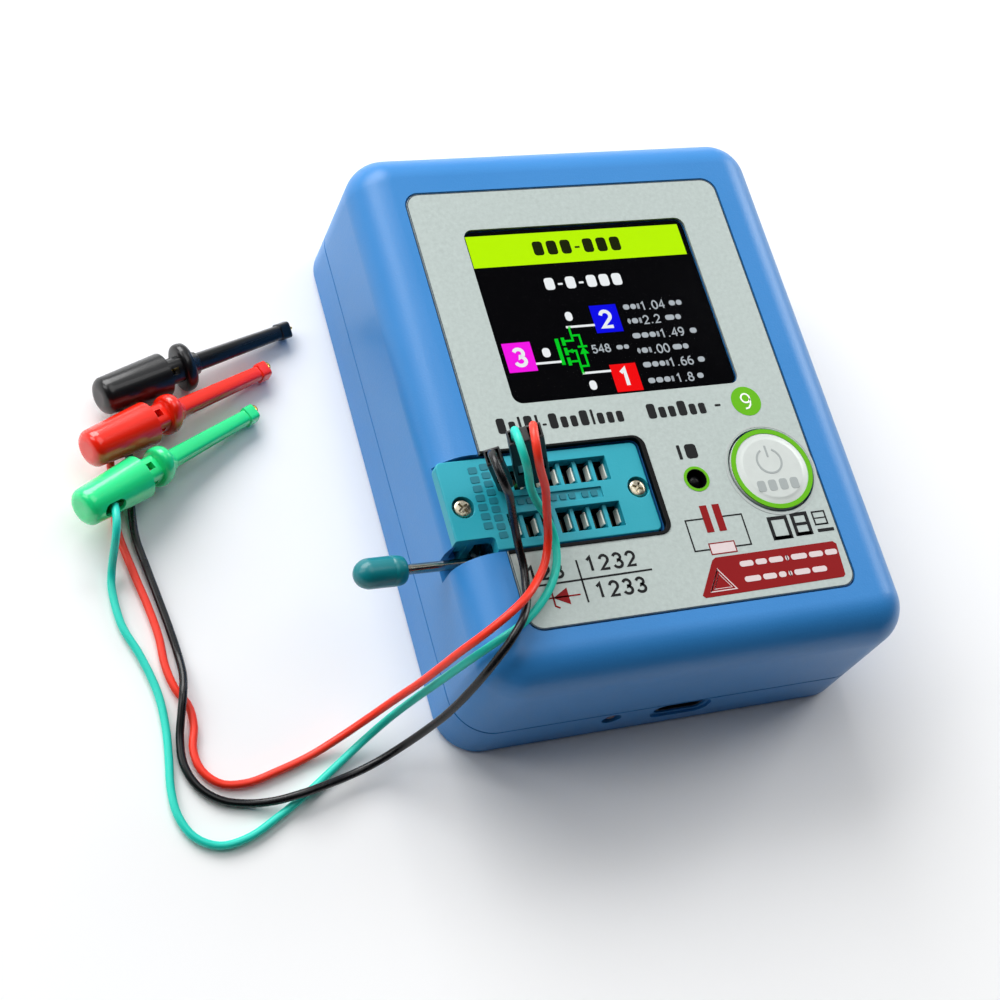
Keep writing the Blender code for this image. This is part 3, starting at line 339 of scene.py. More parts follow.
def oval(a, b, s, n=48, square=0.0):
    points = []
    for i in range(n):
        t = 2 * math.pi * (i + 0.5) / n
        c, q = math.cos(t), math.sin(t)
        k = 1.0 + square * (1.0 / (abs(c) ** 6 + abs(q) ** 6) ** (1 / 6) - 1.0)
        points.append(Vector((s, a * c * k, b * q * k)))
    return points


def link(obj):
    bpy.context.scene.collection.objects.link(obj)
    return obj


def finish(name, bm, mat, angle=32.0, matrix=None):
    bmesh.ops.recalc_face_normals(bm, faces=bm.faces)
    mesh = bpy.data.meshes.new(name)
    for v in bm.verts:
        v.co *= MM
    bm.to_mesh(mesh)
    bm.free()
    obj = link(bpy.data.objects.new(name, mesh))
    if mat is not None:
        mesh.materials.append(mat)
    mesh.shade_smooth()
    mesh.set_sharp_from_angle(angle=math.radians(angle))
    if matrix is not None:
        mesh.transform(matrix)
    return obj


def loft_into(bm, rings):
    rows = [[bm.verts.new(p) for p in r] for r in rings]
    n = len(rows[0])
    for a, b in zip(rows, rows[1:]):
        for i in range(n):
            bm.faces.new((a[i], a[(i + 1) % n], b[(i + 1) % n], b[i]))
    bm.faces.new(list(reversed(rows[0])))
    bm.faces.new(rows[-1])


def loft(name, rings, mat=None, **options):
    bm = bmesh.new()
    loft_into(bm, rings)
    return finish(name, bm, mat, **options)


def box_into(bm, x0, x1, y0, y1, z0, z1):
    loft_into(bm, [[Vector((x0, y0, z)), Vector((x1, y0, z)), Vector((x1, y1, z)), Vector((x0, y1, z))] for z in (z0, z1)])


def box(name, x0, x1, y0, y1, z0, z1, mat=None, **options):
    bm = bmesh.new()
    box_into(bm, x0, x1, y0, y1, z0, z1)
    return finish(name, bm, mat, **options)


def turned(name, axis, centre, profile, n=48, mat=None, **options):
    along = {"x": Vector((1, 0, 0)), "y": Vector((0, 1, 0)), "z": Vector((0, 0, 1))}[axis]
    side = {"x": Vector((0, 1, 0)), "y": Vector((0, 0, 1)), "z": Vector((1, 0, 0))}[axis]
    up = along.cross(side)
    rings = [
        [Vector(centre) + along * s + side * (r * math.cos(2 * math.pi * i / n)) + up * (r * math.sin(2 * math.pi * i / n)) for i in range(n)]
        for s, r in profile
    ]
    return loft(name, rings, mat, **options)


def bake(obj):
    """Applies the modifiers of an object to its own mesh."""
    graph = bpy.context.evaluated_depsgraph_get()
    mesh = bpy.data.meshes.new_from_object(obj.evaluated_get(graph))
    old = obj.data
    obj.modifiers.clear()
    obj.data = mesh
    bpy.data.meshes.remove(old)


def shape(obj, cuts=(), adds=(), edge=0.0, segments=2, angle=32.0, limit=35.0):
    """Booleans, applied, then a small rounded edge that catches the light, then shading that keeps flats flat."""
    for kind, others in (("UNION", adds), ("DIFFERENCE", cuts)):
        for other in others:
            made = obj.modifiers.new(other.name, "BOOLEAN")
            made.operation, made.solver, made.object = kind, "EXACT", other
    if cuts or adds:
        bpy.context.view_layer.update()
        bake(obj)
        for other in (*cuts, *adds):
            data = other.data
            bpy.data.objects.remove(other, do_unlink=True)
            if data.users == 0:
                bpy.data.meshes.remove(data)
    obj.data.shade_smooth()
    obj.data.set_sharp_from_angle(angle=math.radians(angle))
    if edge:
        made = obj.modifiers.new("Edge", "BEVEL")
        made.width, made.segments, made.limit_method, made.angle_limit = edge * MM, segments, "ANGLE", math.radians(limit)
        made.use_clamp_overlap = True
        made.miter_outer = "MITER_ARC"
    made = obj.modifiers.new("Normals", "WEIGHTED_NORMAL")
    made.keep_sharp = True
    made.weight = 60
    return obj


def ride(obj, body="tester", *nodes):
    if nodes:
        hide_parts(*nodes)
    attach(obj, body)
    return obj


def tube(name, points, radius, mat, resolution=6, matrix=None, caps=True):
    data = bpy.data.curves.new(name, "CURVE")
    data.dimensions = "3D"
    data.bevel_depth = radius * MM
    data.bevel_resolution = resolution
    data.use_fill_caps = caps
    data.twist_mode = "MINIMUM"
    spline = data.splines.new("POLY")
    spline.points.add(len(points) - 1)
    for k, q in enumerate(points):
        v = Vector(q) * MM
        if matrix is not None:
            v = matrix @ v
        spline.points[k].co = (*v, 1.0)
    spline.use_smooth = True
    data.materials.append(mat)
    return link(bpy.data.objects.new(name, data))


# ---- cords ------------------------------------------------------------------------------------
def unit(v):
    return Vector(v).normalized()


def plug_frame(foot, lean):
    up = unit(lean)
    across = Vector((0, 1, 0)).cross(up).normalized()
    deep = up.cross(across)
    made = Matrix((across, deep, up)).transposed().to_4x4()
    made.translation = Vector(foot) * MM
    return made


def clip_frame(rear, heading, rise, roll):
    along = Vector((*heading, 0)).normalized()
    along = Vector((along.x, along.y, rise)).normalized()
    level = Vector((0, 0, 1)).cross(along).normalized()
    up = along.cross(level)
    made = Matrix((along, level, up)).transposed().to_4x4() @ Matrix.Rotation(roll, 4, "X")
    made.translation = Vector(rear) * MM
    return made


def smooth_route(points, step):
    p = [Vector(q) for q in points]
    p = [p[0] * 2 - p[1]] + p + [p[-1] * 2 - p[-2]]
    fine = []
    for i in range(1, len(p) - 2):
        a, b, c, d = p[i - 1 : i + 3]
        t0 = 0.0
        t1 = t0 + (b - a).length ** 0.5
        t2 = t1 + (c - b).length ** 0.5
        t3 = t2 + (d - c).length ** 0.5
        for j in range(12):
            t = t1 + (t2 - t1) * j / 12
            a1 = a * ((t1 - t) / (t1 - t0)) + b * ((t - t0) / (t1 - t0))
            a2 = b * ((t2 - t) / (t2 - t1)) + c * ((t - t1) / (t2 - t1))
            a3 = c * ((t3 - t) / (t3 - t2)) + d * ((t - t2) / (t3 - t2))
            b1 = a1 * ((t2 - t) / (t2 - t0)) + a2 * ((t - t0) / (t2 - t0))
            b2 = a2 * ((t3 - t) / (t3 - t1)) + a3 * ((t - t1) / (t3 - t1))
            fine.append(b1 * ((t2 - t) / (t2 - t1)) + b2 * ((t - t1) / (t2 - t1)))
    fine.append(p[-2])
    total = [0.0]
    for a, b in zip(fine, fine[1:]):
        total.append(total[-1] + (b - a).length)
    count = max(2, round(total[-1] / step))
    out, k = [], 0
    for i in range(count + 1):
        want = total[-1] * i / count
        while k < len(fine) - 2 and total[k + 1] < want:
            k += 1
        span = total[k + 1] - total[k]
        f = (want - total[k]) / span if span else 0.0
        out.append(fine[k].lerp(fine[k + 1], min(max(f, 0.0), 1.0)))
    return out, total[-1]


leads = {}
for colour, route in ROUTES.items():
    points, length = smooth_route(route, 0.9)
    first = (Vector(points[0]) - Vector(points[1])).normalized()
    points = [points[0] + first * 1.3] + points
    lead = tube(f"lead_{colour}_insulation", points, LEAD_D / 2, M[f"wire_{colour}"], 5)
    ride(lead, "tester", f"lead_{colour}")
    leads[colour] = (lead, (length + 1.3) * MM, points[0])

# ---- case -------------------------------------------------------------------------------------
SPRING_Z = CASE_H - FILLET_R


def shell_rings(inset, z_low, z_spring, radius, steps, corner, n=18):
    hx, hy = CASE_HX - inset, CASE_HY - inset
    rings = [ring(-hx, hx, -hy, hy, corner, z_low, n), ring(-hx, hx, -hy, hy, corner, z_spring, n)]
    for i in range(1, steps + 1):
        a = math.pi / 2 * i / steps
        d = radius * (1 - math.cos(a))
        rings.append(ring(-hx + d, hx - d, -hy + d, hy - d, corner - d, z_spring + radius * math.sin(a), n))
    return rings


CORNERS = ((1, 1), (-1, 1), (-1, -1), (1, -1))
cuts = [
    loft("c1", shell_rings(WALL, SPLIT_Z - 1, SPRING_Z, TOP_INNER_Z - SPRING_Z, 6, CORNER_R - WALL)),
    loft("c2", [ring(PANEL[0] - 0.25, PANEL[1] + 0.25, PANEL[2] - 0.25, PANEL[3] + 0.25, 2.4, z) for z in (PANEL_Z[0] - GAP, 28.0)]),
    loft("c3", [ring(*WINDOW, 1.5, z) for z in (20.0, 28.0)]),
    loft("c4", [ring(*SOCKET_HOLE, 1.2, z) for z in (19.3, 28.0)]),
    box("c5", -40, -29.0, -20.9, SOCKET_HOLE[3], 22.9, 30),
    box("c6", -40, -26.6, SOCKET_HOLE[2] - 0.001, -20.5, 17.5, 30),
    turned("c7", "z", (*BUTTON_C, 0), ((20, BUTTON_R + 0.3), (28, BUTTON_R + 0.3)), n=72),
    turned("c8", "z", (*IR_C, 0), ((20, 1.55), (28, 1.55)), n=36),
]
front = loft("case_front", shell_rings(0.0, SPLIT_Z + GAP, SPRING_Z, FILLET_R, 16, CORNER_R), M["case"])
shape(front, cuts=cuts, edge=0.16, segments=3, angle=28, limit=30)
ride(front, "tester", "front_shell")

rear_rings = []
for i in range(9):
    a = math.pi / 2 * i / 8
    d = BASE_R * (1 - math.sin(a))
    rear_rings.append(ring(-CASE_HX + d, CASE_HX - d, -CASE_HY + d, CASE_HY - d, CORNER_R - d, BASE_R * (1 - math.cos(a)), 18))
for inset, z in ((0.0, SPLIT_Z), (2.35, SPLIT_Z), (2.35, LIP_TOP), (3.35, LIP_TOP), (3.35, FLOOR)):
    rear_rings.append(ring(-CASE_HX + inset, CASE_HX - inset, -CASE_HY + inset, CASE_HY - inset, CORNER_R - inset, z, 18))
rear = loft("case_rear", rear_rings, M["case"])


def slot_y(name, x0, x1, z0, z1, r, y0, y1, mat=None):
    return loft(name, [[Vector((p.x, y, p.y)) for p in ring(x0, x1, z0, z1, r, 0.0, 10)] for y in (y0, y1)], mat)


cuts = [
    slot_y("c9", USB_X - 3.98, USB_X + 3.98, USB_Z - 1.63, USB_Z + 1.63, 1.15, -46, -38),
    slot_y("c9b", USB_X - 4.7, USB_X + 4.7, USB_Z - 2.3, USB_Z + 2.3, 1.8, -46, -42.35),
    turned("c10", "y", (LED_X, 0, LED_Z), ((-46, 1.5), (-38, 1.5)), n=36),
]
adds = [turned(f"a{k}", "z", (sx * BOSS_X, sy * BOSS_Y, 0), ((1.0, 3.8), (SPLIT_Z, 3.8)), n=32) for k, (sx, sy) in enumerate(CORNERS)]
cuts += [
    turned(f"b{k}", "z", (sx * BOSS_X, sy * BOSS_Y, 0), ((-1.0, 2.75), (2.4, 2.75), (2.4, 1.5), (12.0, 1.5)), n=36)
    for k, (sx, sy) in enumerate(CORNERS)
]
# Moulded relief on the rear face: a shallow plain label recess and a frame groove.
cuts.append(loft("c11", [ring(-19, 19, -12, 14, 1.6, z) for z in (-1.0, 0.25)]))
for gx in range(5):
    cuts.append(box(f"c12_{gx}", -14 + 7 * gx - 2.2, -14 + 7 * gx + 2.2, 22.2, 23.2, -1, 0.6))
    cuts.append(box(f"c13_{gx}", -14 + 7 * gx - 2.2, -14 + 7 * gx + 2.2, 25.0, 26.0, -1, 0.6))
shape(rear, cuts=cuts, adds=adds, edge=0.12, segments=2, angle=28, limit=30)
ride(rear, "tester", "rear_shell")

# ---- screws in the rear face ------------------------------------------------------------------
for k, (sx, sy) in enumerate(CORNERS, 1):
    cx, cy = sx * BOSS_X, sy * BOSS_Y
    profile = [(0.5, 1.2), (0.56, 1.7), (0.75, 2.1), (0.95, 2.3), (1.9, 2.3), (2.05, 2.15), (2.05, 1.12), (15.4, 1.12), (16.2, 0.3)]
    body = turned(f"rear_screw_{k}", "z", (cx, cy, 0), profile, 40, M["screw"])
    a = box("x1", cx - 1.35, cx + 1.35, cy - 0.24, cy + 0.24, -1, 1.2)
    b = box("x2", cx - 0.24, cx + 0.24, cy - 1.35, cy + 1.35, -1, 1.2)
    shape(body, cuts=[a, b], edge=0.04)
    ride(body, "tester", f"case_screw_{k}")

# ---- face -------------------------------------------------------------------------------------
panel = loft("face_film", [ring(*PANEL, 2.2, z) for z in PANEL_Z], M["panel"])
shape(panel, cuts=[
    loft("p1", [ring(*WINDOW, 1.5, z) for z in (20.0, 28.0)]),
    loft("p2", [ring(*SOCKET_HOLE, 1.2, z) for z in (19.3, 28.0)]),
    turned("p3", "z", (*BUTTON_C, 0), ((20, BUTTON_R + 0.3), (28, BUTTON_R + 0.3)), n=72),
    turned("p4", "z", (*IR_C, 0), ((20, 1.55), (28, 1.55)), n=36),
], edge=0.1, segments=2)
ride(panel, "tester", "face_panel")


def outline_strip(name, outer, inner, z0, z1, mat, body="tester"):
    """A flat band between two closed outlines with the same number of points."""
    bm = bmesh.new()
    rows = [[bm.verts.new(Vector((p.x, p.y, z))) for p in pts] for pts, z in ((outer, z0), (outer, z1), (inner, z1), (inner, z0))]
    n = len(rows[0])
    for a, b in zip(rows, rows[1:] + rows[:1]):
        for i in range(n):
            bm.faces.new((a[i], a[(i + 1) % n], b[(i + 1) % n], b[i]))
    return ride(finish(name, bm, mat), body)


# A dark band round the film's edge: painted shade for the gap between the film and the case.
border = outline_strip("film_border_painted_shade", ring(PANEL[0] + 0.02, PANEL[1] - 0.02, PANEL[2] + 0.02, PANEL[3] - 0.02, 2.2, 0),
                       ring(PANEL[0] + 0.16, PANEL[1] - 0.16, PANEL[2] + 0.16, PANEL[3] - 0.16, 2.1, 0), 25.9, 26.012, M["panel_edge_painted_shade"])
shape(border, cuts=[loft("pb", [ring(*SOCKET_HOLE, 1.2, z) for z in (19.3, 28.0)])])

W_IN = (WINDOW[0] + 0.25, WINDOW[1] - 0.25, WINDOW[2] + 0.25, WINDOW[3] - 0.25)
# The pane is dark glass with the lit picture just under a thin clear top layer.
glass = loft("display_glass", [ring(*W_IN, 1.3, 24.0), ring(*W_IN, 1.3, 25.6)], M["glass"])
shape(glass, edge=0.06)
ride(glass, "tester", "display_window")
top = loft("display_cover_pane", [ring(*W_IN, 1.3, 25.72), ring(*W_IN, 1.3, 25.82), ring(W_IN[0] + 0.1, W_IN[1] - 0.1, W_IN[2] + 0.1, W_IN[3] - 0.1, 1.2, 25.86)], M["clear"])
ride(top, "tester")

# ---- button -----------------------------------------------------------------------------------
R = BUTTON_R
cap_profile = [(22.2, 1.9), (22.9, 1.9), (22.9, 7.5), (23.5, 7.5), (23.5, R), (25.9, R)] + [
    (25.9 + 0.38 * math.sin(math.radians(d)), R - 0.4 + 0.4 * math.cos(math.radians(d))) for d in (20, 40, 60, 80)
] + [(26.36, R - 1.2), (26.42, R - 1.55), (26.47, R - 1.7), (26.5, R - 1.9), (26.5, 2.5)]
cap = turned("button_cap", "z", (*BUTTON_C, 0), cap_profile, 96, M["key"])
shape(cap, edge=0.0)
ride(cap, "button", "test_button")


def disc_ring(name, c, r0, r1, z0, z1, mat, body="tester", n=96, a0=0.0, a1=360.0):
    """A flat ring, or a part of one between two angles."""
    full = a1 - a0 >= 360
    count = n if full else max(8, int(n * (a1 - a0) / 360))
    bm = bmesh.new()
    angles = [math.radians(a0 + (a1 - a0) * i / (count if full else count - 1)) for i in range(count)]
    rows = []
    for r, z in ((r1, z0), (r1, z1), (r0, z1), (r0, z0)):
        rows.append([bm.verts.new(Vector((c[0] + r * math.cos(a), c[1] + r * math.sin(a), z))) for a in angles])
    for a, b in zip(rows, rows[1:] + rows[:1]):
        for i in range(count if full else count - 1):
            bm.faces.new((a[i], a[(i + 1) % count], b[(i + 1) % count], b[i]))
    if not full:
        bm.faces.new([r[0] for r in rows])
        bm.faces.new([r[-1] for r in reversed(rows)])
    obj = finish(name, bm, mat)
    return ride(obj, body)


disc_ring("button_green_ring", BUTTON_C, 5.7, 6.4, 26.2, 26.39, M["ink_green"], "button")
disc_ring("button_rim_emboss", BUTTON_C, 6.95, 7.25, 25.95, 26.05, M["ink_shade"], "tester")
PC = (BUTTON_C[0] - 0.15, BUTTON_C[1] + 1.2)
disc_ring("button_icon_arc", PC, 1.8, 2.1, 26.4, 26.53, M["ink_grey"], "button", 60, 118.0, 422.0)

# ---- strokes, digits and other flat marks -----------------------------------------------------
def stroke_into(bm, pts, w, z0, z1):
    """A flat ribbon of width w along a polyline, with mitred corners."""
    P = [Vector((x, y)) for x, y in pts]
    left, right = [], []
    for i, p in enumerate(P):
        d0 = (p - P[i - 1]).normalized() if i else None
        d1 = (P[i + 1] - p).normalized() if i < len(P) - 1 else None
        d = ((d0 or d1) + (d1 or d0)).normalized()
        nrm = Vector((-d.y, d.x))
        base = d0 or d1
        k = 1.0 / max(0.5, abs(nrm.dot(Vector((-base.y, base.x)))))
        e = Vector((0, 0))
        left.append(p + nrm * (w / 2 * k) + e)
        right.append(p - nrm * (w / 2 * k) + e)
    for i in range(len(P) - 1):
        quad = [left[i], right[i], right[i + 1], left[i + 1]]
        lo = [bm.verts.new(Vector((q.x, q.y, z0))) for q in quad]
        hi = [bm.verts.new(Vector((q.x, q.y, z1))) for q in quad]
        bm.faces.new(list(reversed(lo)))
        bm.faces.new(hi)
        for j in range(4):
            bm.faces.new((lo[j], lo[(j + 1) % 4], hi[(j + 1) % 4], hi[j]))


def arc_pts(cx, cy, rx, ry, a0, a1, n=10):
    return [(cx + rx * math.cos(math.radians(a0 + (a1 - a0) * i / n)), cy + ry * math.sin(math.radians(a0 + (a1 - a0) * i / n))) for i in range(n + 1)]


DIGITS = {
    "0": [arc_pts(0.3, 0.5, 0.3, 0.5, 0, 360, 20)],
    "1": [[(0.08, 0.78), (0.32, 0.98), (0.32, 0.0)]],
    "2": [arc_pts(0.3, 0.7, 0.28, 0.29, 170, -35, 10) + [(0.02, 0.02), (0.6, 0.02)]],
    "3": [arc_pts(0.29, 0.74, 0.26, 0.25, 160, -80, 9) + arc_pts(0.29, 0.26, 0.3, 0.26, 80, -165, 10)],
    "4": [[(0.46, 0.0), (0.46, 1.0), (0.0, 0.3), (0.62, 0.3)]],
    "5": [[(0.56, 0.98), (0.12, 0.98), (0.07, 0.55)] + arc_pts(0.29, 0.32, 0.29, 0.31, 120, -155, 10)],
    "6": [arc_pts(0.3, 0.3, 0.28, 0.29, 180, -180, 18), [(0.02, 0.32), (0.05, 0.62), (0.2, 0.9), (0.45, 0.99)]],
    "8": [arc_pts(0.3, 0.75, 0.23, 0.24, -90, 270, 16), arc_pts(0.3, 0.26, 0.29, 0.26, 90, 450, 18)],
    "9": [[(0.12, 0.01), (0.34, 0.06), (0.5, 0.24), (0.57, 0.48)] + arc_pts(0.3, 0.7, 0.28, 0.29, 0, 350, 18)],
    ".": [[(0.12, 0.0), (0.12, 0.12)]],
    "-": [[(0.08, 0.42), (0.5, 0.42)]],
}
WIDTH = {"1": 0.62, ".": 0.3}


def digits_into(bm, text, x, y, h, w, z0, z1, slant=(1.0, 0.0), gap=0.24):
    """Digits whose lower left is at x, y. slant is the direction that the line of digits runs in."""
    ux, uy = slant
    s = math.hypot(ux, uy)
    ux, uy = ux / s, uy / s
    at = 0.0
    for ch in text:
        for line in DIGITS.get(ch, ()):
            pts = [(x + (at + px * h) * ux - py * h * uy, y + (at + px * h) * uy + py * h * ux) for px, py in line]
            stroke_into(bm, pts, w, z0, z1)
        at += (WIDTH.get(ch, 0.6) + gap) * h
    return at


def mark(name, mat, strokes=(), digits=(), polys=(), z0=25.97, z1=26.03, body="tester"):
    bm = bmesh.new()
    for pts, w in strokes:
        stroke_into(bm, pts, w, z0, z1)
    for args in digits:
        digits_into(bm, *args[:5], z0, z1, *args[5:])
    for poly in polys:
        lo = [bm.verts.new(Vector((px, py, z0))) for px, py in poly]
        hi = [bm.verts.new(Vector((px, py, z1))) for px, py in poly]
        bm.faces.new(list(reversed(lo)))
        bm.faces.new(hi)
        for j in range(len(poly)):
            bm.faces.new((lo[j], lo[(j + 1) % len(poly)], hi[(j + 1) % len(poly)], hi[j]))
    return ride(finish(name, bm, mat, angle=20), body)


def rounded(x0, x1, y0, y1, r, n=5):
    return [(p.x, p.y) for p in ring(x0, x1, y0, y1, r, 0, n)]


def words(x, y, h, lengths, gap, slope=0.0, r=None):
    """Plain rounded bars that stand for printed words."""
    out, at = [], x
    for k, length in enumerate(lengths):
        y0 = y + slope * (at - x)
        out.append(rounded(at, at + length, y0 - h / 2, y0 + h / 2, r or h * 0.45))
        at += length + gap
    return out


# Printed marks. Words are plain bars of the same height and length; the digits are generic numbering.
def blocks(x, y, tall, low, pattern, unit_w, gap):
    """Plain rounded blocks of two heights in place of a printed word. The pattern gives T for tall and l for low."""
    out, at = [], x
    for ch in pattern:
        wide = unit_w * {"T": 1.25, "l": 1.0, "i": 0.38, "-": 0.62}[ch]
        if ch == "-":
            out.append(rounded(at, at + wide, y + low * 0.36, y + low * 0.36 + 0.3, 0.1))
        else:
            out.append(rounded(at, at + wide, y, y + (tall if ch in "Ti" else low), min(wide, low) * 0.3))
        at += wide + gap
    return out


mark("mark_title", M["ink"], polys=blocks(-22.6, -5.8, 2.4, 1.75, "TliTi-TllTilll", 1.0, 0.52)
     + blocks(0.9, -5.85, 2.4, 1.75, "TllTll", 1.06, 0.5) + words(11.9, -4.75, 0.35, [0.95], 0.5, 0.0, 0.12))
disc_ring("mark_disc", (17.2, -4.57), 0.05, 2.4, 25.97, 26.03, M["ink_green"])
mark("mark_disc_digit", M["ink_white"], digits=[("9", 16.45, -5.85, 2.5, 0.25)], z0=26.02, z1=26.06)
mark("mark_ir_bar", M["ink"], polys=[rounded(3.55, 4.05, -12.75, -10.45, 0.12), rounded(4.75, 6.6, -12.75, -10.45, 0.5)])
disc_ring("ir_green_ring", IR_C, 1.56, 1.98, 25.97, 26.05, M["ink_green"])
# A black sleeve lining the receiver's hole in the case: painted shade in the hole.
disc_ring("ir_hole_painted_shade", IR_C, 1.5, 1.56, 24.0, 26.02, M["black"])
mark("mark_numbers", M["ink"], digits=[
    ("123", -24.45, -28.05, 2.05, 0.4, (1, 0), 0.32), ("1232", -15.6, -27.75, 2.1, 0.4, (1, 0), 0.36), ("1233", -15.3, -31.75, 2.1, 0.4, (1, 0), 0.36),
], strokes=[([(-16.97, -25.9), (-16.97, -32.2)], 0.27), ([(-24.9, -28.9), (-6.2, -28.7)], 0.27)])
zx, zy = -20.5, -30.9
mark("mark_diode", M["ink_red"], polys=[[(zx - 1.35, zy), (zx + 0.95, zy - 1.25), (zx + 0.95, zy + 1.25)]], strokes=[
    ([(zx - 3.0, zy), (zx + 2.7, zy)], 0.22), ([(zx - 0.75, zy - 1.55), (zx - 1.35, zy - 1.2), (zx - 1.35, zy + 1.2), (zx - 1.95, zy + 1.55)], 0.25),
])
mark("mark_capacitor", M["ink_red"], polys=[[(4.0, -24.4), (5.15, -24.4), (5.15, -20.2), (4.0, -20.2)], [(6.0, -24.4), (7.15, -24.4), (7.15, -20.2), (6.0, -20.2)]])
mark("mark_loop", M["ink"], strokes=[
    ([(4.0, -22.2), (1.16, -22.2), (1.16, -26.95), (3.6, -26.95)], 0.22), ([(7.15, -22.2), (10.18, -22.2), (10.18, -26.95), (7.6, -26.95)], 0.22),
])
mark("mark_resistor", M["ink_red"], strokes=[([(3.6, -26.1), (7.6, -26.1), (7.6, -27.75), (3.6, -27.75), (3.6, -26.0)], 0.16)])
mark("mark_resistor_fill", M["ink_pale"], polys=[[(3.7, -27.65), (7.5, -27.65), (7.5, -26.2), (3.7, -26.2)]], z1=26.015)
mark("mark_plate", M["ink_red"], polys=[[(0.5, -34.0), (22.9, -33.75), (23.3, -33.4), (23.6, -28.6), (23.1, -28.15), (3.9, -28.25), (3.3, -28.6), (0.1, -33.6)]])
tri = [(3.6, -30.0), (1.55, -33.25), (5.65, -33.25)]
mark("mark_plate_triangle", M["ink_pale"], strokes=[([tri[0], tri[1], tri[2], tri[0], tri[1]], 0.16), ([(3.6, -30.75), (2.2, -32.9), (5.0, -32.9), (3.6, -30.75), (2.2, -32.9)], 0.09)], z0=26.02, z1=26.05)
mark("mark_plate_bars", M["ink_pale"], polys=words(7.3, -29.75, 0.85, [2.2, 1.8, 2.3, 0.6, 2.6, 2.3, 2.0], 0.36) + words(7.3, -32.1, 0.85, [2.6, 2.2, 1.2, 0.6, 2.6, 2.4], 0.36), z0=26.02, z1=26.05)
mark("mark_button_bars", M["ink_grey"], polys=blocks(BUTTON_C[0] - 3.4, BUTTON_C[1] - 3.55, 1.75, 1.75, "TTTT", 1.05, 0.5), z0=26.45, z1=26.53, body="button")
mark("mark_icon_bar", M["ink_grey"], strokes=[([(PC[0], PC[1] + 0.6), (PC[0], PC[1] + 2.45)], 0.3)], z0=26.45, z1=26.53, body="button")
mark("mark_small_icons", M["ink"], strokes=[
    ([(14.2, -26.6), (16.9, -26.6), (16.9, -23.5), (14.2, -23.5), (14.2, -26.6), (16.9, -26.6)], 0.55),
    ([(18.0, -26.4), (20.3, -26.4), (20.3, -23.3), (18.0, -23.3), (18.0, -26.4), (20.3, -26.4)], 0.55), ([(18.3, -24.85), (20.0, -24.85)], 0.45),
    ([(21.4, -25.3), (23.4, -25.3), (23.4, -23.3), (21.4, -23.3), (21.4, -25.3), (23.4, -25.3)], 0.24), ([(21.5, -24.3), (23.3, -24.3)], 0.18),
], polys=[rounded(21.4, 24.1, -26.5, -26.0, 0.1)])

# ---- screen picture ---------------------------------------------------------------------------
Z0, Z1 = 25.6, 25.66


def lit(name, mat, z=0.0, **options):
    return mark(name, mat, z0=Z0 + z, z1=Z1 + z, **options)


lit("screen_header", M["lime"], polys=[[(-18.7, 21.2), (16.2, 21.2), (16.2, 26.55), (-18.7, 26.55)]])
lit("screen_header_bars", M["dark_ink"], z=0.03, polys=blocks(-8.6, 22.65, 2.4, 2.4, "TTT-TTT", 1.3, 0.62))
lit("screen_line_two", M["white"], polys=blocks(-8.5, 16.75, 2.0, 2.0, "T-T-TTT", 1.22, 0.56))
lit("screen_box_blue", M["blue"], polys=[[(-2.7, 8.95), (1.6, 8.95), (1.6, 13.55), (-2.7, 13.55)]])
lit("screen_box_magenta", M["magenta"], polys=[[(-18.1, 3.75), (-13.7, 3.75), (-13.7, 8.5), (-18.1, 8.5)]])
lit("screen_box_red", M["red_lit"], polys=[[(-2.48, -0.9), (1.7, -0.9), (1.7, 3.6), (-2.48, 3.6)]])
lit("screen_digits", M["white"], z=0.03, digits=[("2", -1.4, 9.8, 2.7, 0.55), ("3", -16.7, 4.75, 2.7, 0.55), ("1", -1.25, 0.05, 2.7, 0.6)])
lit("screen_wires", M["white"], strokes=[([(-7.3, 10.35), (-2.7, 10.35)], 0.34), ([(-13.7, 4.85), (-9.7, 4.85)], 0.34), ([(-7.0, 2.65), (-2.48, 2.65)], 0.34)],
    polys=words(-6.9, 12.1, 1.5, [1.1], 0.2, 0.0, 0.5) + words(-12.2, 6.5, 1.5, [1.2], 0.2, 0.0, 0.5) + words(-6.5, 0.6, 1.5, [1.1], 0.2, 0.0, 0.5))
lit("screen_symbol", M["green_lit"], strokes=[
    ([(-9.45, 8.6), (-9.45, 4.3)], 0.55), ([(-8.45, 8.7), (-8.45, 7.4)], 0.5), ([(-8.45, 7.0), (-8.45, 5.8)], 0.5), ([(-8.45, 5.4), (-8.45, 4.1)], 0.5),
    ([(-8.45, 8.1), (-6.9, 8.1), (-6.9, 10.3), (-6.6, 10.3)], 0.3), ([(-8.45, 4.7), (-6.9, 4.7), (-6.9, 2.7), (-6.6, 2.7)], 0.3),
    ([(-8.45, 6.4), (-6.9, 6.4), (-6.9, 4.7)], 0.3), ([(-6.9, 8.9), (-5.7, 8.9), (-5.7, 7.0)], 0.3), ([(-6.9, 3.8), (-5.7, 3.8), (-5.7, 5.8)], 0.3), ([(-6.45, 7.0), (-4.95, 7.0)], 0.3),
], polys=[[(-6.4, 5.8), (-5.0, 5.8), (-5.7, 6.9)], [(-8.2, 6.4), (-7.4, 6.75), (-7.4, 6.05)]])
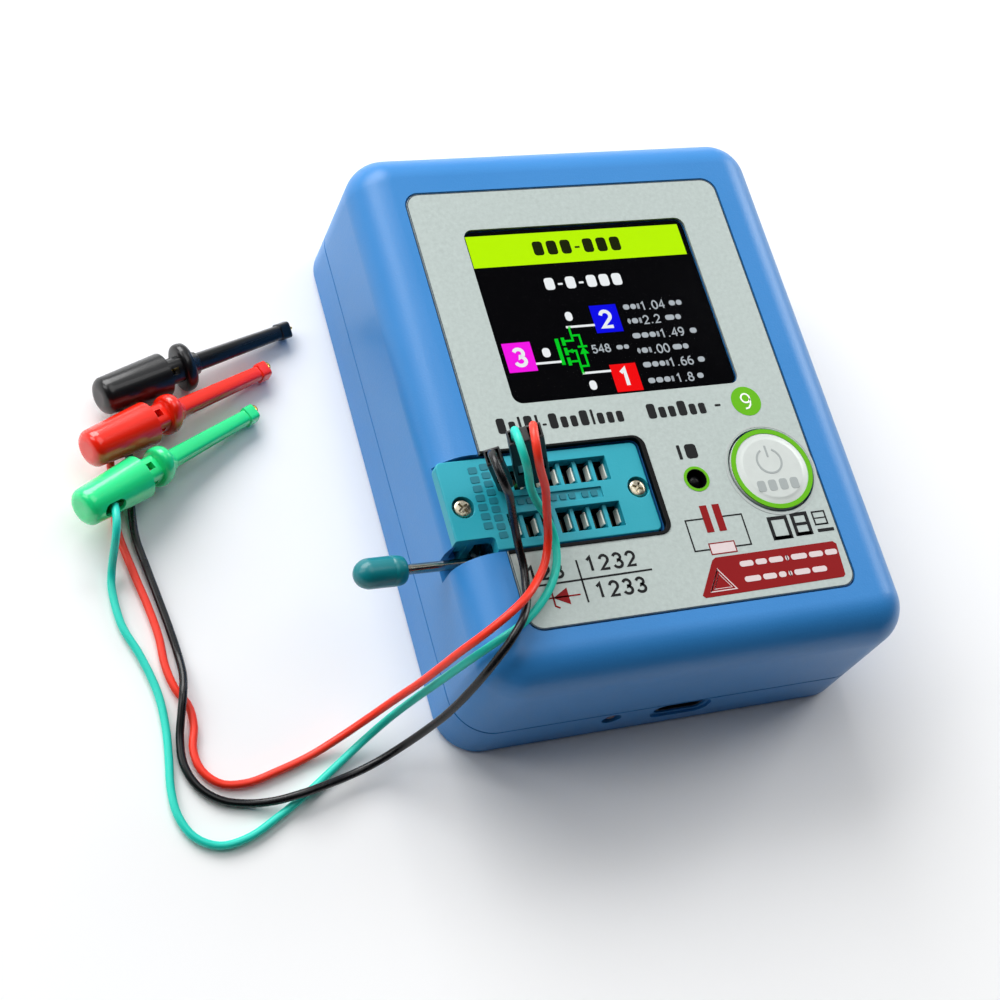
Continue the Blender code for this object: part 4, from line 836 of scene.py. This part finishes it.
lit("screen_values", M["grey"], digits=[
    ("548", -4.3, 5.75, 1.25, 0.2, (1, 0.02)), ("1.04", 5.7, 12.2, 1.35, 0.2, (1, 0.02)), ("2.2", 5.4, 9.85, 1.35, 0.2, (1, 0.02)), ("1.49", 7.4, 7.35, 1.35, 0.2, (1, 0.02)),
    (".00", 5.3, 4.85, 1.35, 0.2, (1, 0.02)), ("1.66", 7.3, 2.45, 1.35, 0.2, (1, 0.02)), ("1.8", 7.6, -0.2, 1.35, 0.2, (1, 0.02)),
], polys=words(2.75, 12.9, 0.85, [1.0, 0.9, 0.4], 0.2) + words(10.4, 13.0, 0.85, [1.0, 0.9], 0.2) + words(2.75, 10.5, 0.85, [0.5, 1.0, 0.4], 0.2) + words(9.0, 10.6, 0.85, [1.5, 0.9], 0.2)
    + words(2.75, 8.0, 0.85, [1.3, 1.1, 1.0, 0.4], 0.2) + words(12.3, 8.1, 0.85, [1.1], 0.2) + words(2.75, 5.5, 0.85, [0.5, 1.0, 0.4], 0.2) + words(8.6, 5.6, 0.85, [1.5, 0.9], 0.2)
    + words(2.9, 3.1, 0.85, [1.3, 1.0, 0.9, 0.4], 0.2) + words(12.0, 3.2, 0.85, [1.1], 0.2) + words(2.9, 0.45, 0.85, [1.1, 1.1, 1.0, 0.4], 0.2) + words(11.0, 0.55, 0.85, [1.0], 0.2)
    + words(-0.4, 6.35, 0.7, [1.0, 0.8], 0.2))

# ---- infrared window --------------------------------------------------------------------------
dome = [(22.0, 1.25), (24.2, 1.25)] + [(24.2 + 1.35 * math.sin(math.radians(d)), 1.25 * math.cos(math.radians(d))) for d in (10, 20, 30, 40, 50, 60, 70, 80, 87)]
body = box("receiver_body", IR_C[0] - 3.2, IR_C[0] + 3.2, IR_C[1] - 2.2, IR_C[1] + 1.4, 19.0, 22.9, M["bead"])
legs = [box(f"l{k}", IR_C[0] + dx - 0.25, IR_C[0] + dx + 0.25, IR_C[1] - 1.7, IR_C[1] - 1.2, PCB_Z[1] + GAP, 19.6) for k, dx in enumerate((-2.54, 0.0, 2.54))]
shape(body, adds=[turned("d", "z", (*IR_C, 0), dome, n=40), *legs], edge=0.05)
ride(body, "tester", "ir_receiver")

# ---- lever socket -----------------------------------------------------------------------------
cover = loft("socket_cover", [
    ring(*COVER, 1.0, COVER_Z[0], 8), ring(*COVER, 1.0, COVER_Z[1] - 0.25, 8),
    ring(COVER[0] + 0.08, COVER[1] - 0.08, COVER[2] + 0.08, COVER[3] - 0.08, 0.95, COVER_Z[1] - 0.08, 8),
    ring(COVER[0] + 0.25, COVER[1] - 0.25, COVER[2] + 0.25, COVER[3] - 0.25, 0.8, COVER_Z[1], 8),
], M["teal"])
cuts = [
    loft("s1", [ring(-36, -27.4, -26, -20.85, 0.6, z, 6) for z in (22, 27)]),
    box("s2", -24.8, -18.25, -21.5, -17.7, 22, 27), box("s3", -17.55, -7.7, -21.5, -17.7, 22, 27),
    box("s4", -24.8, -7.7, -14.3, -10.6, 22, 27), box("s5", -23.3, -9.7, -16.85, -15.2, COVER_Z[1] - 0.35, 27),
]
for side, x in SCREW_X.items():
    cuts.append(turned(f"s6{side}", "z", (x, SCREW_Y, 0), ((22, 0.9), (24.4, 0.9), (24.4, 1.62), (27, 1.62)), n=40))
shape(cover, cuts=cuts, edge=0.09, segments=2, angle=30)
ride(cover, "tester", "zif_cover")
# Plain raised bars stand where a maker's wording would be moulded. They are coloured a darker teal than the cover:
# painted shade for the moulded relief.
mark("cover_relief_rows", M["teal_painted_shade"], polys=[rounded(-28.55, -27.25, y, y + 1.0, 0.2) for y in (-19.6, -18.2, -16.8, -15.4, -14.0, -12.6, -11.2)]
     + [rounded(-26.75, -25.5, y, y + 0.95, 0.2) for y in (-21.2, -19.9, -18.6, -17.3, -16.0, -14.7, -13.4, -12.1, -10.8)], z0=25.5, z1=25.68)
mark("cover_relief_bars", M["teal_painted_shade"], polys=[rounded(x, x + 1.0, -16.45, -15.6, 0.2) for x in (-22.6, -21.2, -19.8, -17.6, -16.2, -14.8, -12.8, -11.4)], z0=25.2, z1=25.42)

for side, x in SCREW_X.items():
    profile = [(SCREW_FOOT[side], 0.2), (SCREW_FOOT[side] + 0.5, 0.55), (24.7, 0.55), (24.7, 1.25), (24.8, 1.3), (25.2, 1.28), (25.35, 1.18), (25.45, 0.95), (25.5, 0.6)]
    screw = turned(f"socket_screw_{side}", "z", (x, SCREW_Y, 0), profile, 40, M["screw"])
    a = box("x1", -0.85, 0.85, -0.17, 0.17, 25.0 - 0.0, 26)
    b = box("x2", -0.17, 0.17, -0.85, 0.85, 25.0 - 0.0, 26)
    for blade in (a, b):
        blade.data.transform(Matrix.Translation(Vector((x, SCREW_Y, 0)) * MM) @ Matrix.Rotation(0.6 if side == "left" else 1.1, 4, "Z"))
    shape(screw, cuts=[a, b], edge=0.03)
    ride(screw, "tester", f"zif_screw_{side}")

slider = box("socket_slider", -25.9, -5.8, -21.3, -10.3, 21.6, 23.2, M["black"])
bm = bmesh.new()
for y in ROWS.values():
    for i in range(7):
        sx = SLOT_X0 - PITCH * i
        box_into(bm, sx - 0.9, sx + 0.95, y - 1.6, y + 1.6, 20, 25)
shape(slider, cuts=[finish("ss", bm, None)], edge=0.05)
ride(slider, "slider", "zif_slider")
# Teal bars between the slots show through the cover's windows.
for row, y in ROWS.items():
    bm = bmesh.new()
    for i in range(8):
        sx = SLOT_X0 - PITCH * i
        x0, x1 = sx + 0.98, sx + PITCH - 0.93
        if i == 0:
            x1 = -7.75
        if i == 7:
            x0 = -24.75
        if x1 - x0 < 0.2:
            continue
        y0, y1 = (-21.45, -17.75) if row == "front" else (-14.25, -10.65)
        box_into(bm, x0 + 0.02, x1 - 0.02, y0, y1, 23.3, 24.9)
    ribs = finish(f"socket_ribs_{row}", bm, M["teal"])
    shape(ribs, edge=0.06)
    ride(ribs, "tester")
    for i in range(7):
        cx = SLOT_X0 - PITCH * i + 0.15
        for dx, tag in ((0.28, "leaf"),):
            bm = bmesh.new()
            out = [(-1.15, 15.2), (1.15, 15.2), (1.15, 22.4), (0.85, 22.9), (-0.85, 22.9), (-1.15, 22.4)]
            loft_into(bm, [[Vector((cx + q, y + p, z)) for p, z in out] for q in (-0.15, 0.15)])
            tail = bmesh.new()
            loft_into(bm, [[Vector((cx + q, y + p, z)) for p, z in ((-0.3, 10.6), (0.3, 10.6), (0.3, 15.3), (-0.3, 15.3))] for q in (-0.14, 0.14)])
            tail.free()
            # The leaf is coloured dark brass: painted shade down in the slot.
            leaf = finish(f"contact_{row}_{7 - i}", bm, M["contact_painted_shade"])
            shape(leaf, edge=0.04)
            ride(leaf, "tester", f"zif_contact_{row}_{7 - i}")
            # The contact's bent lip, seen at the right of its slot, coloured near white: a painted highlight.
            lip = bmesh.new()
            loft_into(lip, [[Vector((cx + q, y + p, z)) for q, z in ((0.42, 23.32), (0.66, 23.35), (0.8, 24.45), (0.56, 24.45), (0.42, 23.7))] for p in (-1.1, 1.1)])
            piece = finish(f"contact_lip_{row}_{7 - i}", lip, M["contact"])
            shape(piece, edge=0.05)
            ride(piece, "tester")

# Black bead round the socket opening.
outer = ring(-40, -0.86, -23.95, -7.98, 1.9, 0, 10)
inner = ring(-40, -1.88, -23.28, -8.52, 1.2, 0, 10)


def open_bead(name, x0, mat):
    """The bead runs along the top, the right and the bottom of the opening, and stops at the case edge."""
    def path(x1, y0, y1, r):
        pts = [(x0[1], y1)]
        pts += [(x1 - r + r * math.cos(math.radians(a)), y1 - r + r * math.sin(math.radians(a))) for a in range(90, -1, -9)]
        pts += [(x1 - r + r * math.cos(math.radians(a)), y0 + r + r * math.sin(math.radians(a))) for a in range(0, -91, -9)]
        pts += [(x0[0], y0)]
        return pts
    o, i = path(-1.15, -23.78, -8.12, 1.8), path(-1.92, -23.29, -8.51, 1.2)
    bm = bmesh.new()
    rows = []
    for pts, z in ((o, 25.95), (o, 26.1), (o, 26.16), (i, 26.16), (i, 26.06), (i, 25.3)):
        rows.append([bm.verts.new(Vector((px, py, z))) for px, py in pts])
    mid = [((a[0] + b[0]) / 2, (a[1] + b[1]) / 2) for a, b in zip(o, i)]
    for a, b in zip(rows, rows[1:] + rows[:1]):
        for k in range(len(o) - 1):
            bm.faces.new((a[k], a[k + 1], b[k + 1], b[k]))
    bm.faces.new([r[0] for r in rows])
    bm.faces.new([r[-1] for r in reversed(rows)])
    obj = finish(name, bm, mat)
    shape(obj, edge=0.05)
    return ride(obj, "tester")


open_bead("socket_bead", (-26.3, -26.3), M["bead"])

# ---- lever ------------------------------------------------------------------------------------
pivot = Matrix.Translation(Vector((SHAFT_X, LEVER_Y, SHAFT_Z)) * MM)
rod_dir = Vector((-math.cos(LEVER_RISE), 0.0, math.sin(LEVER_RISE)))


def along_rod(profile, n):
    side = Vector((0, 1, 0))
    up = rod_dir.cross(side)
    return [[rod_dir * s + side * (r * math.cos(2 * math.pi * i / n)) + up * (r * math.sin(2 * math.pi * i / n)) for i in range(n)] for s, r in profile]


shaft = turned("lever_shaft", "y", (0, 0, 0), ((-0.75, 0.6), (-0.6, 0.9), (-0.5, 0.95), (7.2, 0.95), (7.2, 1.35), (9.4, 1.35), (9.4, 0.95), (11.2, 0.95)), 36, M["steel"], matrix=pivot)
shape(shaft, adds=[loft("r", along_rod(((0.1, 0.72), (14.6, 0.72)), 32), matrix=pivot)], edge=0.05)
ride(shaft, "lever", "zif_lever")
knob_profile = [(11.0, 1.2), (11.02, 1.4), (11.1, 1.62), (11.25, 1.8), (11.5, 1.95), (11.9, 2.06), (12.4, 2.12), (13.0, 2.13), (13.06, 2.08), (13.14, 2.08), (13.2, 2.13), (16.2, 2.12)] + [
    (16.2 + 2.28 * math.sin(math.radians(d)), 2.12 * math.cos(math.radians(d))) for d in (10, 20, 30, 40, 50, 60, 70, 78, 84, 88)
]
knob = loft("lever_knob", along_rod(knob_profile, 56), M["knob"], matrix=pivot, angle=50)
shape(knob, cuts=[loft("kb", along_rod(((8.0, 1.05), (15.0, 1.05)), 24), matrix=pivot)], angle=50)
ride(knob, "lever", "zif_lever_knob")

# ---- plugs ------------------------------------------------------------------------------------
for name, (foot, lean, half) in PLUGS.items():
    at = plug_frame(foot, lean)
    rows = [ring(-half + d, half - d, -1.15 + d, 1.15 - d, 0.16, z, 5) for d, z in ((0.18, 0.0), (0.05, 0.06), (0.0, 0.2), (0.0, PLUG_LEN - 0.2), (0.05, PLUG_LEN - 0.06), (0.18, PLUG_LEN))]
    plug = loft(f"{name}_housing", rows, M["black"], matrix=at)
    cuts = []
    ways = (-1.27, 1.27) if half > 2 else (0.0,)
    for k, w in enumerate(ways):
        cuts.append(box(f"q{k}", w - 0.8, w + 0.8, -0.65, 0.65, -1.0, 3.6, matrix=at))
        cuts.append(box(f"r{k}", w - 0.7, w + 0.7, -2.0, -0.75, 4.2, 7.2, matrix=at))
        cuts.append(box(f"t{k}", w - 0.85, w + 0.85, -0.8, 0.8, PLUG_LEN - 1.6, PLUG_LEN + 1, matrix=at))
        cuts.append(box(f"u{k}", w - 0.55, w + 0.55, 0.85, 2.0, 8.6, 11.6, matrix=at))
    if half > 2:
        cuts.append(box("v1", -0.12, 0.12, -2.0, -1.05, -1, PLUG_LEN + 1, matrix=at))
        cuts.append(box("v2", -0.12, 0.12, 1.05, 2.0, -1, PLUG_LEN + 1, matrix=at))
    shape(plug, cuts=cuts, edge=0.07)
    ride(plug, "tester", name)
    for k, w in enumerate(ways):
        latch = box(f"{name}_latch_{k + 1}", w - 0.5, w + 0.5, -0.98, -0.8, 4.5, 6.9, M["tin"], matrix=at)
        shape(latch, edge=0.04)
        ride(latch, "tester")

# ---- hook clips -------------------------------------------------------------------------------
for colour, (rear_end, heading, rise, roll) in CLIPS.items():
    at = clip_frame(rear_end, heading, rise, roll)
    plastic = M["clipblack" if colour == "black" else colour]
    B0, B1 = BARREL_R
    profile = [(0.0, 1.2), (0.03, 1.6), (0.12, 1.95), (0.3, 2.3), (0.55, 2.56), (0.9, B0), (1.6, B0 + 0.05), (BARREL_LEN - 0.2, B1), (BARREL_LEN - 0.05, B1 - 0.03), (BARREL_LEN, B1 - 0.15), (BARREL_LEN, BARREL_BORE[1]), (1.6, BARREL_BORE[0])]
    barrel = loft(f"{colour}_barrel_shell", [oval(r, r, s, 56) for s, r in profile], plastic, matrix=at)
    along = at.to_3x3() @ Vector((1, 0, 0))
    out = Vector((along.y, -along.x, HOLE_DOWN[colour])).normalized()
    local = at.to_3x3().inverted() @ out
    turn = math.atan2(local.z, local.y)
    hole = loft("h", [[Vector((p.x, d, p.y)) for p in ring(2.1, 5.6, -1.0, 1.0, 0.95, 0.0, 8)] for d in (1.2, 4.4)], matrix=at @ Matrix.Rotation(turn, 4, "X"))
    shape(barrel, cuts=[hole], edge=0.08, angle=30)
    ride(barrel, "tester", f"clip_{colour}_barrel")

    F = FLANGE_S
    sections = [
        oval(1.65, 1.65, 6.4, 48, 0.5), oval(1.75, 1.75, 6.55, 48, 0.5), oval(1.75, 1.75, 9.6, 48, 0.5), oval(1.95, 1.95, 10.0, 48, 0.5), oval(1.95, 1.95, F, 48, 0.5),
        oval(2.9, 2.1, F), oval(3.25, 2.42, F + 0.08), oval(3.48, 2.63, F + 0.25), oval(3.58, 2.73, F + 0.5), oval(3.6, 2.75, F + 0.9), oval(3.57, 2.72, F + 1.3),
        oval(3.45, 2.6, F + 1.6), oval(3.22, 2.38, F + 1.83), oval(2.8, 2.05, F + 2.0), oval(2.1, 1.95, F + 2.05), oval(1.85, 1.85, F + 2.3), oval(1.7, 1.7, F + 3.0),
        oval(1.5, 1.5, F + 3.12, 48, 0.2), oval(1.35, 1.35, F + 3.25, 48, 0.5), oval(1.08, 1.08, TIP_S - 1.7, 48, 0.5),
        oval(1.28, 1.28, TIP_S - 1.6, 48, 0.85), oval(1.28, 1.28, TIP_S - 0.1, 48, 0.85), oval(1.18, 1.18, TIP_S, 48, 0.85),
    ]
    sleeve = loft(f"{colour}_sleeve_body", sections, plastic, matrix=at, angle=40)
    cuts = [
        loft("n1", [oval(0.56, 0.56, s, 20) for s in (4.0, TIP_S + 2)], matrix=at),
        box("n2", 7.6, 12.6, -3, 3, -0.55, 0.55, matrix=at),
        box("n3", 10.4, 12.6, -0.55, 0.55, -3, 3, matrix=at),
    ]
    for sgn in (-1, 1):
        # Shallow flutes along the nose.
        cuts.append(box(f"n4{sgn}", F + 4.6, TIP_S - 2.6, -0.22, 0.22, sgn * 1.22 - 0.13, sgn * 1.22 + 0.13, matrix=at))
    shape(sleeve, cuts=cuts, edge=0.07, angle=38, limit=38)
    ride(sleeve, f"sleeve_{colour}", f"clip_{colour}_sleeve")

    hook = [(2.0, 0.0, 0.0), (TIP_S + 0.4, 0.0, 0.0)]
    for d in range(12, 181, 12):
        a = math.radians(d)
        hook.append((TIP_S + 0.4 + 0.55 * math.sin(a), 0.0, -0.55 * (1 - math.cos(a))))
    obj = tube(f"{colour}_hook_wire", hook, 0.24, M["gold"], 5, matrix=at)
    ride(obj, "tester", f"clip_{colour}_hook")

    coil = []
    for k in range(int(4.5 * 28) + 1):
        a = 2 * math.pi * k / 28
        coil.append((2.0 + 4.0 * k / (4.5 * 28), math.cos(a), math.sin(a)))
    bm_curve = tube(f"{colour}_coil_curve", coil, 0.14, M["steel"], 3, matrix=at)
    bpy.context.view_layer.update()
    mesh = bpy.data.meshes.new_from_object(bm_curve.evaluated_get(bpy.context.evaluated_depsgraph_get()))
    spring = link(bpy.data.objects.new(f"{colour}_spring", mesh))
    bpy.data.objects.remove(bm_curve, do_unlink=True)
    mesh.shade_smooth()
    ride(spring, "tester", f"clip_{colour}_spring")
    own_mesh(spring)

    lead, length, start = leads[colour]

# ---- CAD nodes that stay: inside pieces and plug pins -----------------------------------------
for name, node in NODES.items():
    pick = None
    if name.endswith("_pcb"):
        pick = "pcb"
    elif name == "battery":
        pick = "cell"
    elif name == "lcd_frame":
        pick = "tin"
    elif name == "usb_socket":
        pick = "dark_tin"
    elif name == "lcd_panel":
        pick = "glass"
    elif name == "zif_base":
        pick = "teal"
    elif name.startswith("plug_pin"):
        pick = "gold"
    elif name in ("switch_body", "switch_plunger"):
        pick = "black"
    elif name == "charge_led":
        # The LED lens gets the darkened lens colour: painted shade in its hole.
        pick = "lens"
    if pick:
        node.data.materials.clear()
        node.data.materials.append(M[pick])

# ---- floor and light --------------------------------------------------------------------------
bm = bmesh.new()
loft_into(bm, [[Vector((x, y, z)) for x, y in ((-2500, -2500), (2500, -2500), (2500, 2500), (-2500, 2500))] for z in (-3.0, 0.0)])
floor = finish("floor", bm, finish_mat("floor_paper", (250, 250, 250), rough=0.8, grain=900, bump=0.02, mottle=0.004))
floor.location.z = -0.0001


def area(name, position, target, size, power, colour=(1, 1, 1)):
    data = bpy.data.lights.new(name, "AREA")
    data.shape = "RECTANGLE"
    data.size, data.size_y = size
    data.energy = power
    data.color = colour
    obj = link(bpy.data.objects.new(name, data))
    obj.location = Vector(position)
    obj.rotation_euler = (Vector(target) - Vector(position)).to_track_quat("-Z", "Y").to_euler()
    return obj


area("key", (-0.3, 0.75, 0.6), (0, 0, 0), (0.9, 0.6), 10.6)
area("left", (-0.9, 0.25, 0.6), (0, 0, 0.01), (0.3, 0.7), 2.2)
area("top", (0.1, 0.1, 0.95), (0, 0, 0), (0.6, 0.6), 1.75)
area("right", (0.85, 0.4, 0.4), (0, 0, 0.01), (0.5, 0.5), 3.6)

world = bpy.data.worlds.new("world")
bpy.context.scene.world = world
world.use_nodes = True
wn = world.node_tree
bg = wn.nodes["Background"]
co = wn.nodes.new("ShaderNodeTexCoord")
sep = wn.nodes.new("ShaderNodeSeparateXYZ")
wn.links.new(co.outputs["Generated"], sep.inputs["Vector"])
grad = wn.nodes.new("ShaderNodeMapRange")
grad.inputs["From Min"].default_value = -0.15
grad.inputs["From Max"].default_value = 0.5
grad.inputs["To Min"].default_value = 0.0
grad.inputs["To Max"].default_value = 1.0
wn.links.new(sep.outputs["Y"], grad.inputs["Value"])
mixw = wn.nodes.new("ShaderNodeMix")
mixw.data_type = "RGBA"
mixw.inputs[6].default_value = (0.03, 0.035, 0.045, 1)
mixw.inputs[7].default_value = (0.97, 0.985, 1.0, 1)
wn.links.new(grad.outputs["Result"], mixw.inputs["Factor"])
wn.links.new(mixw.outputs[2], bg.inputs["Color"])
bg.inputs["Strength"].default_value = 0.58

bpy.context.view_layer.update()
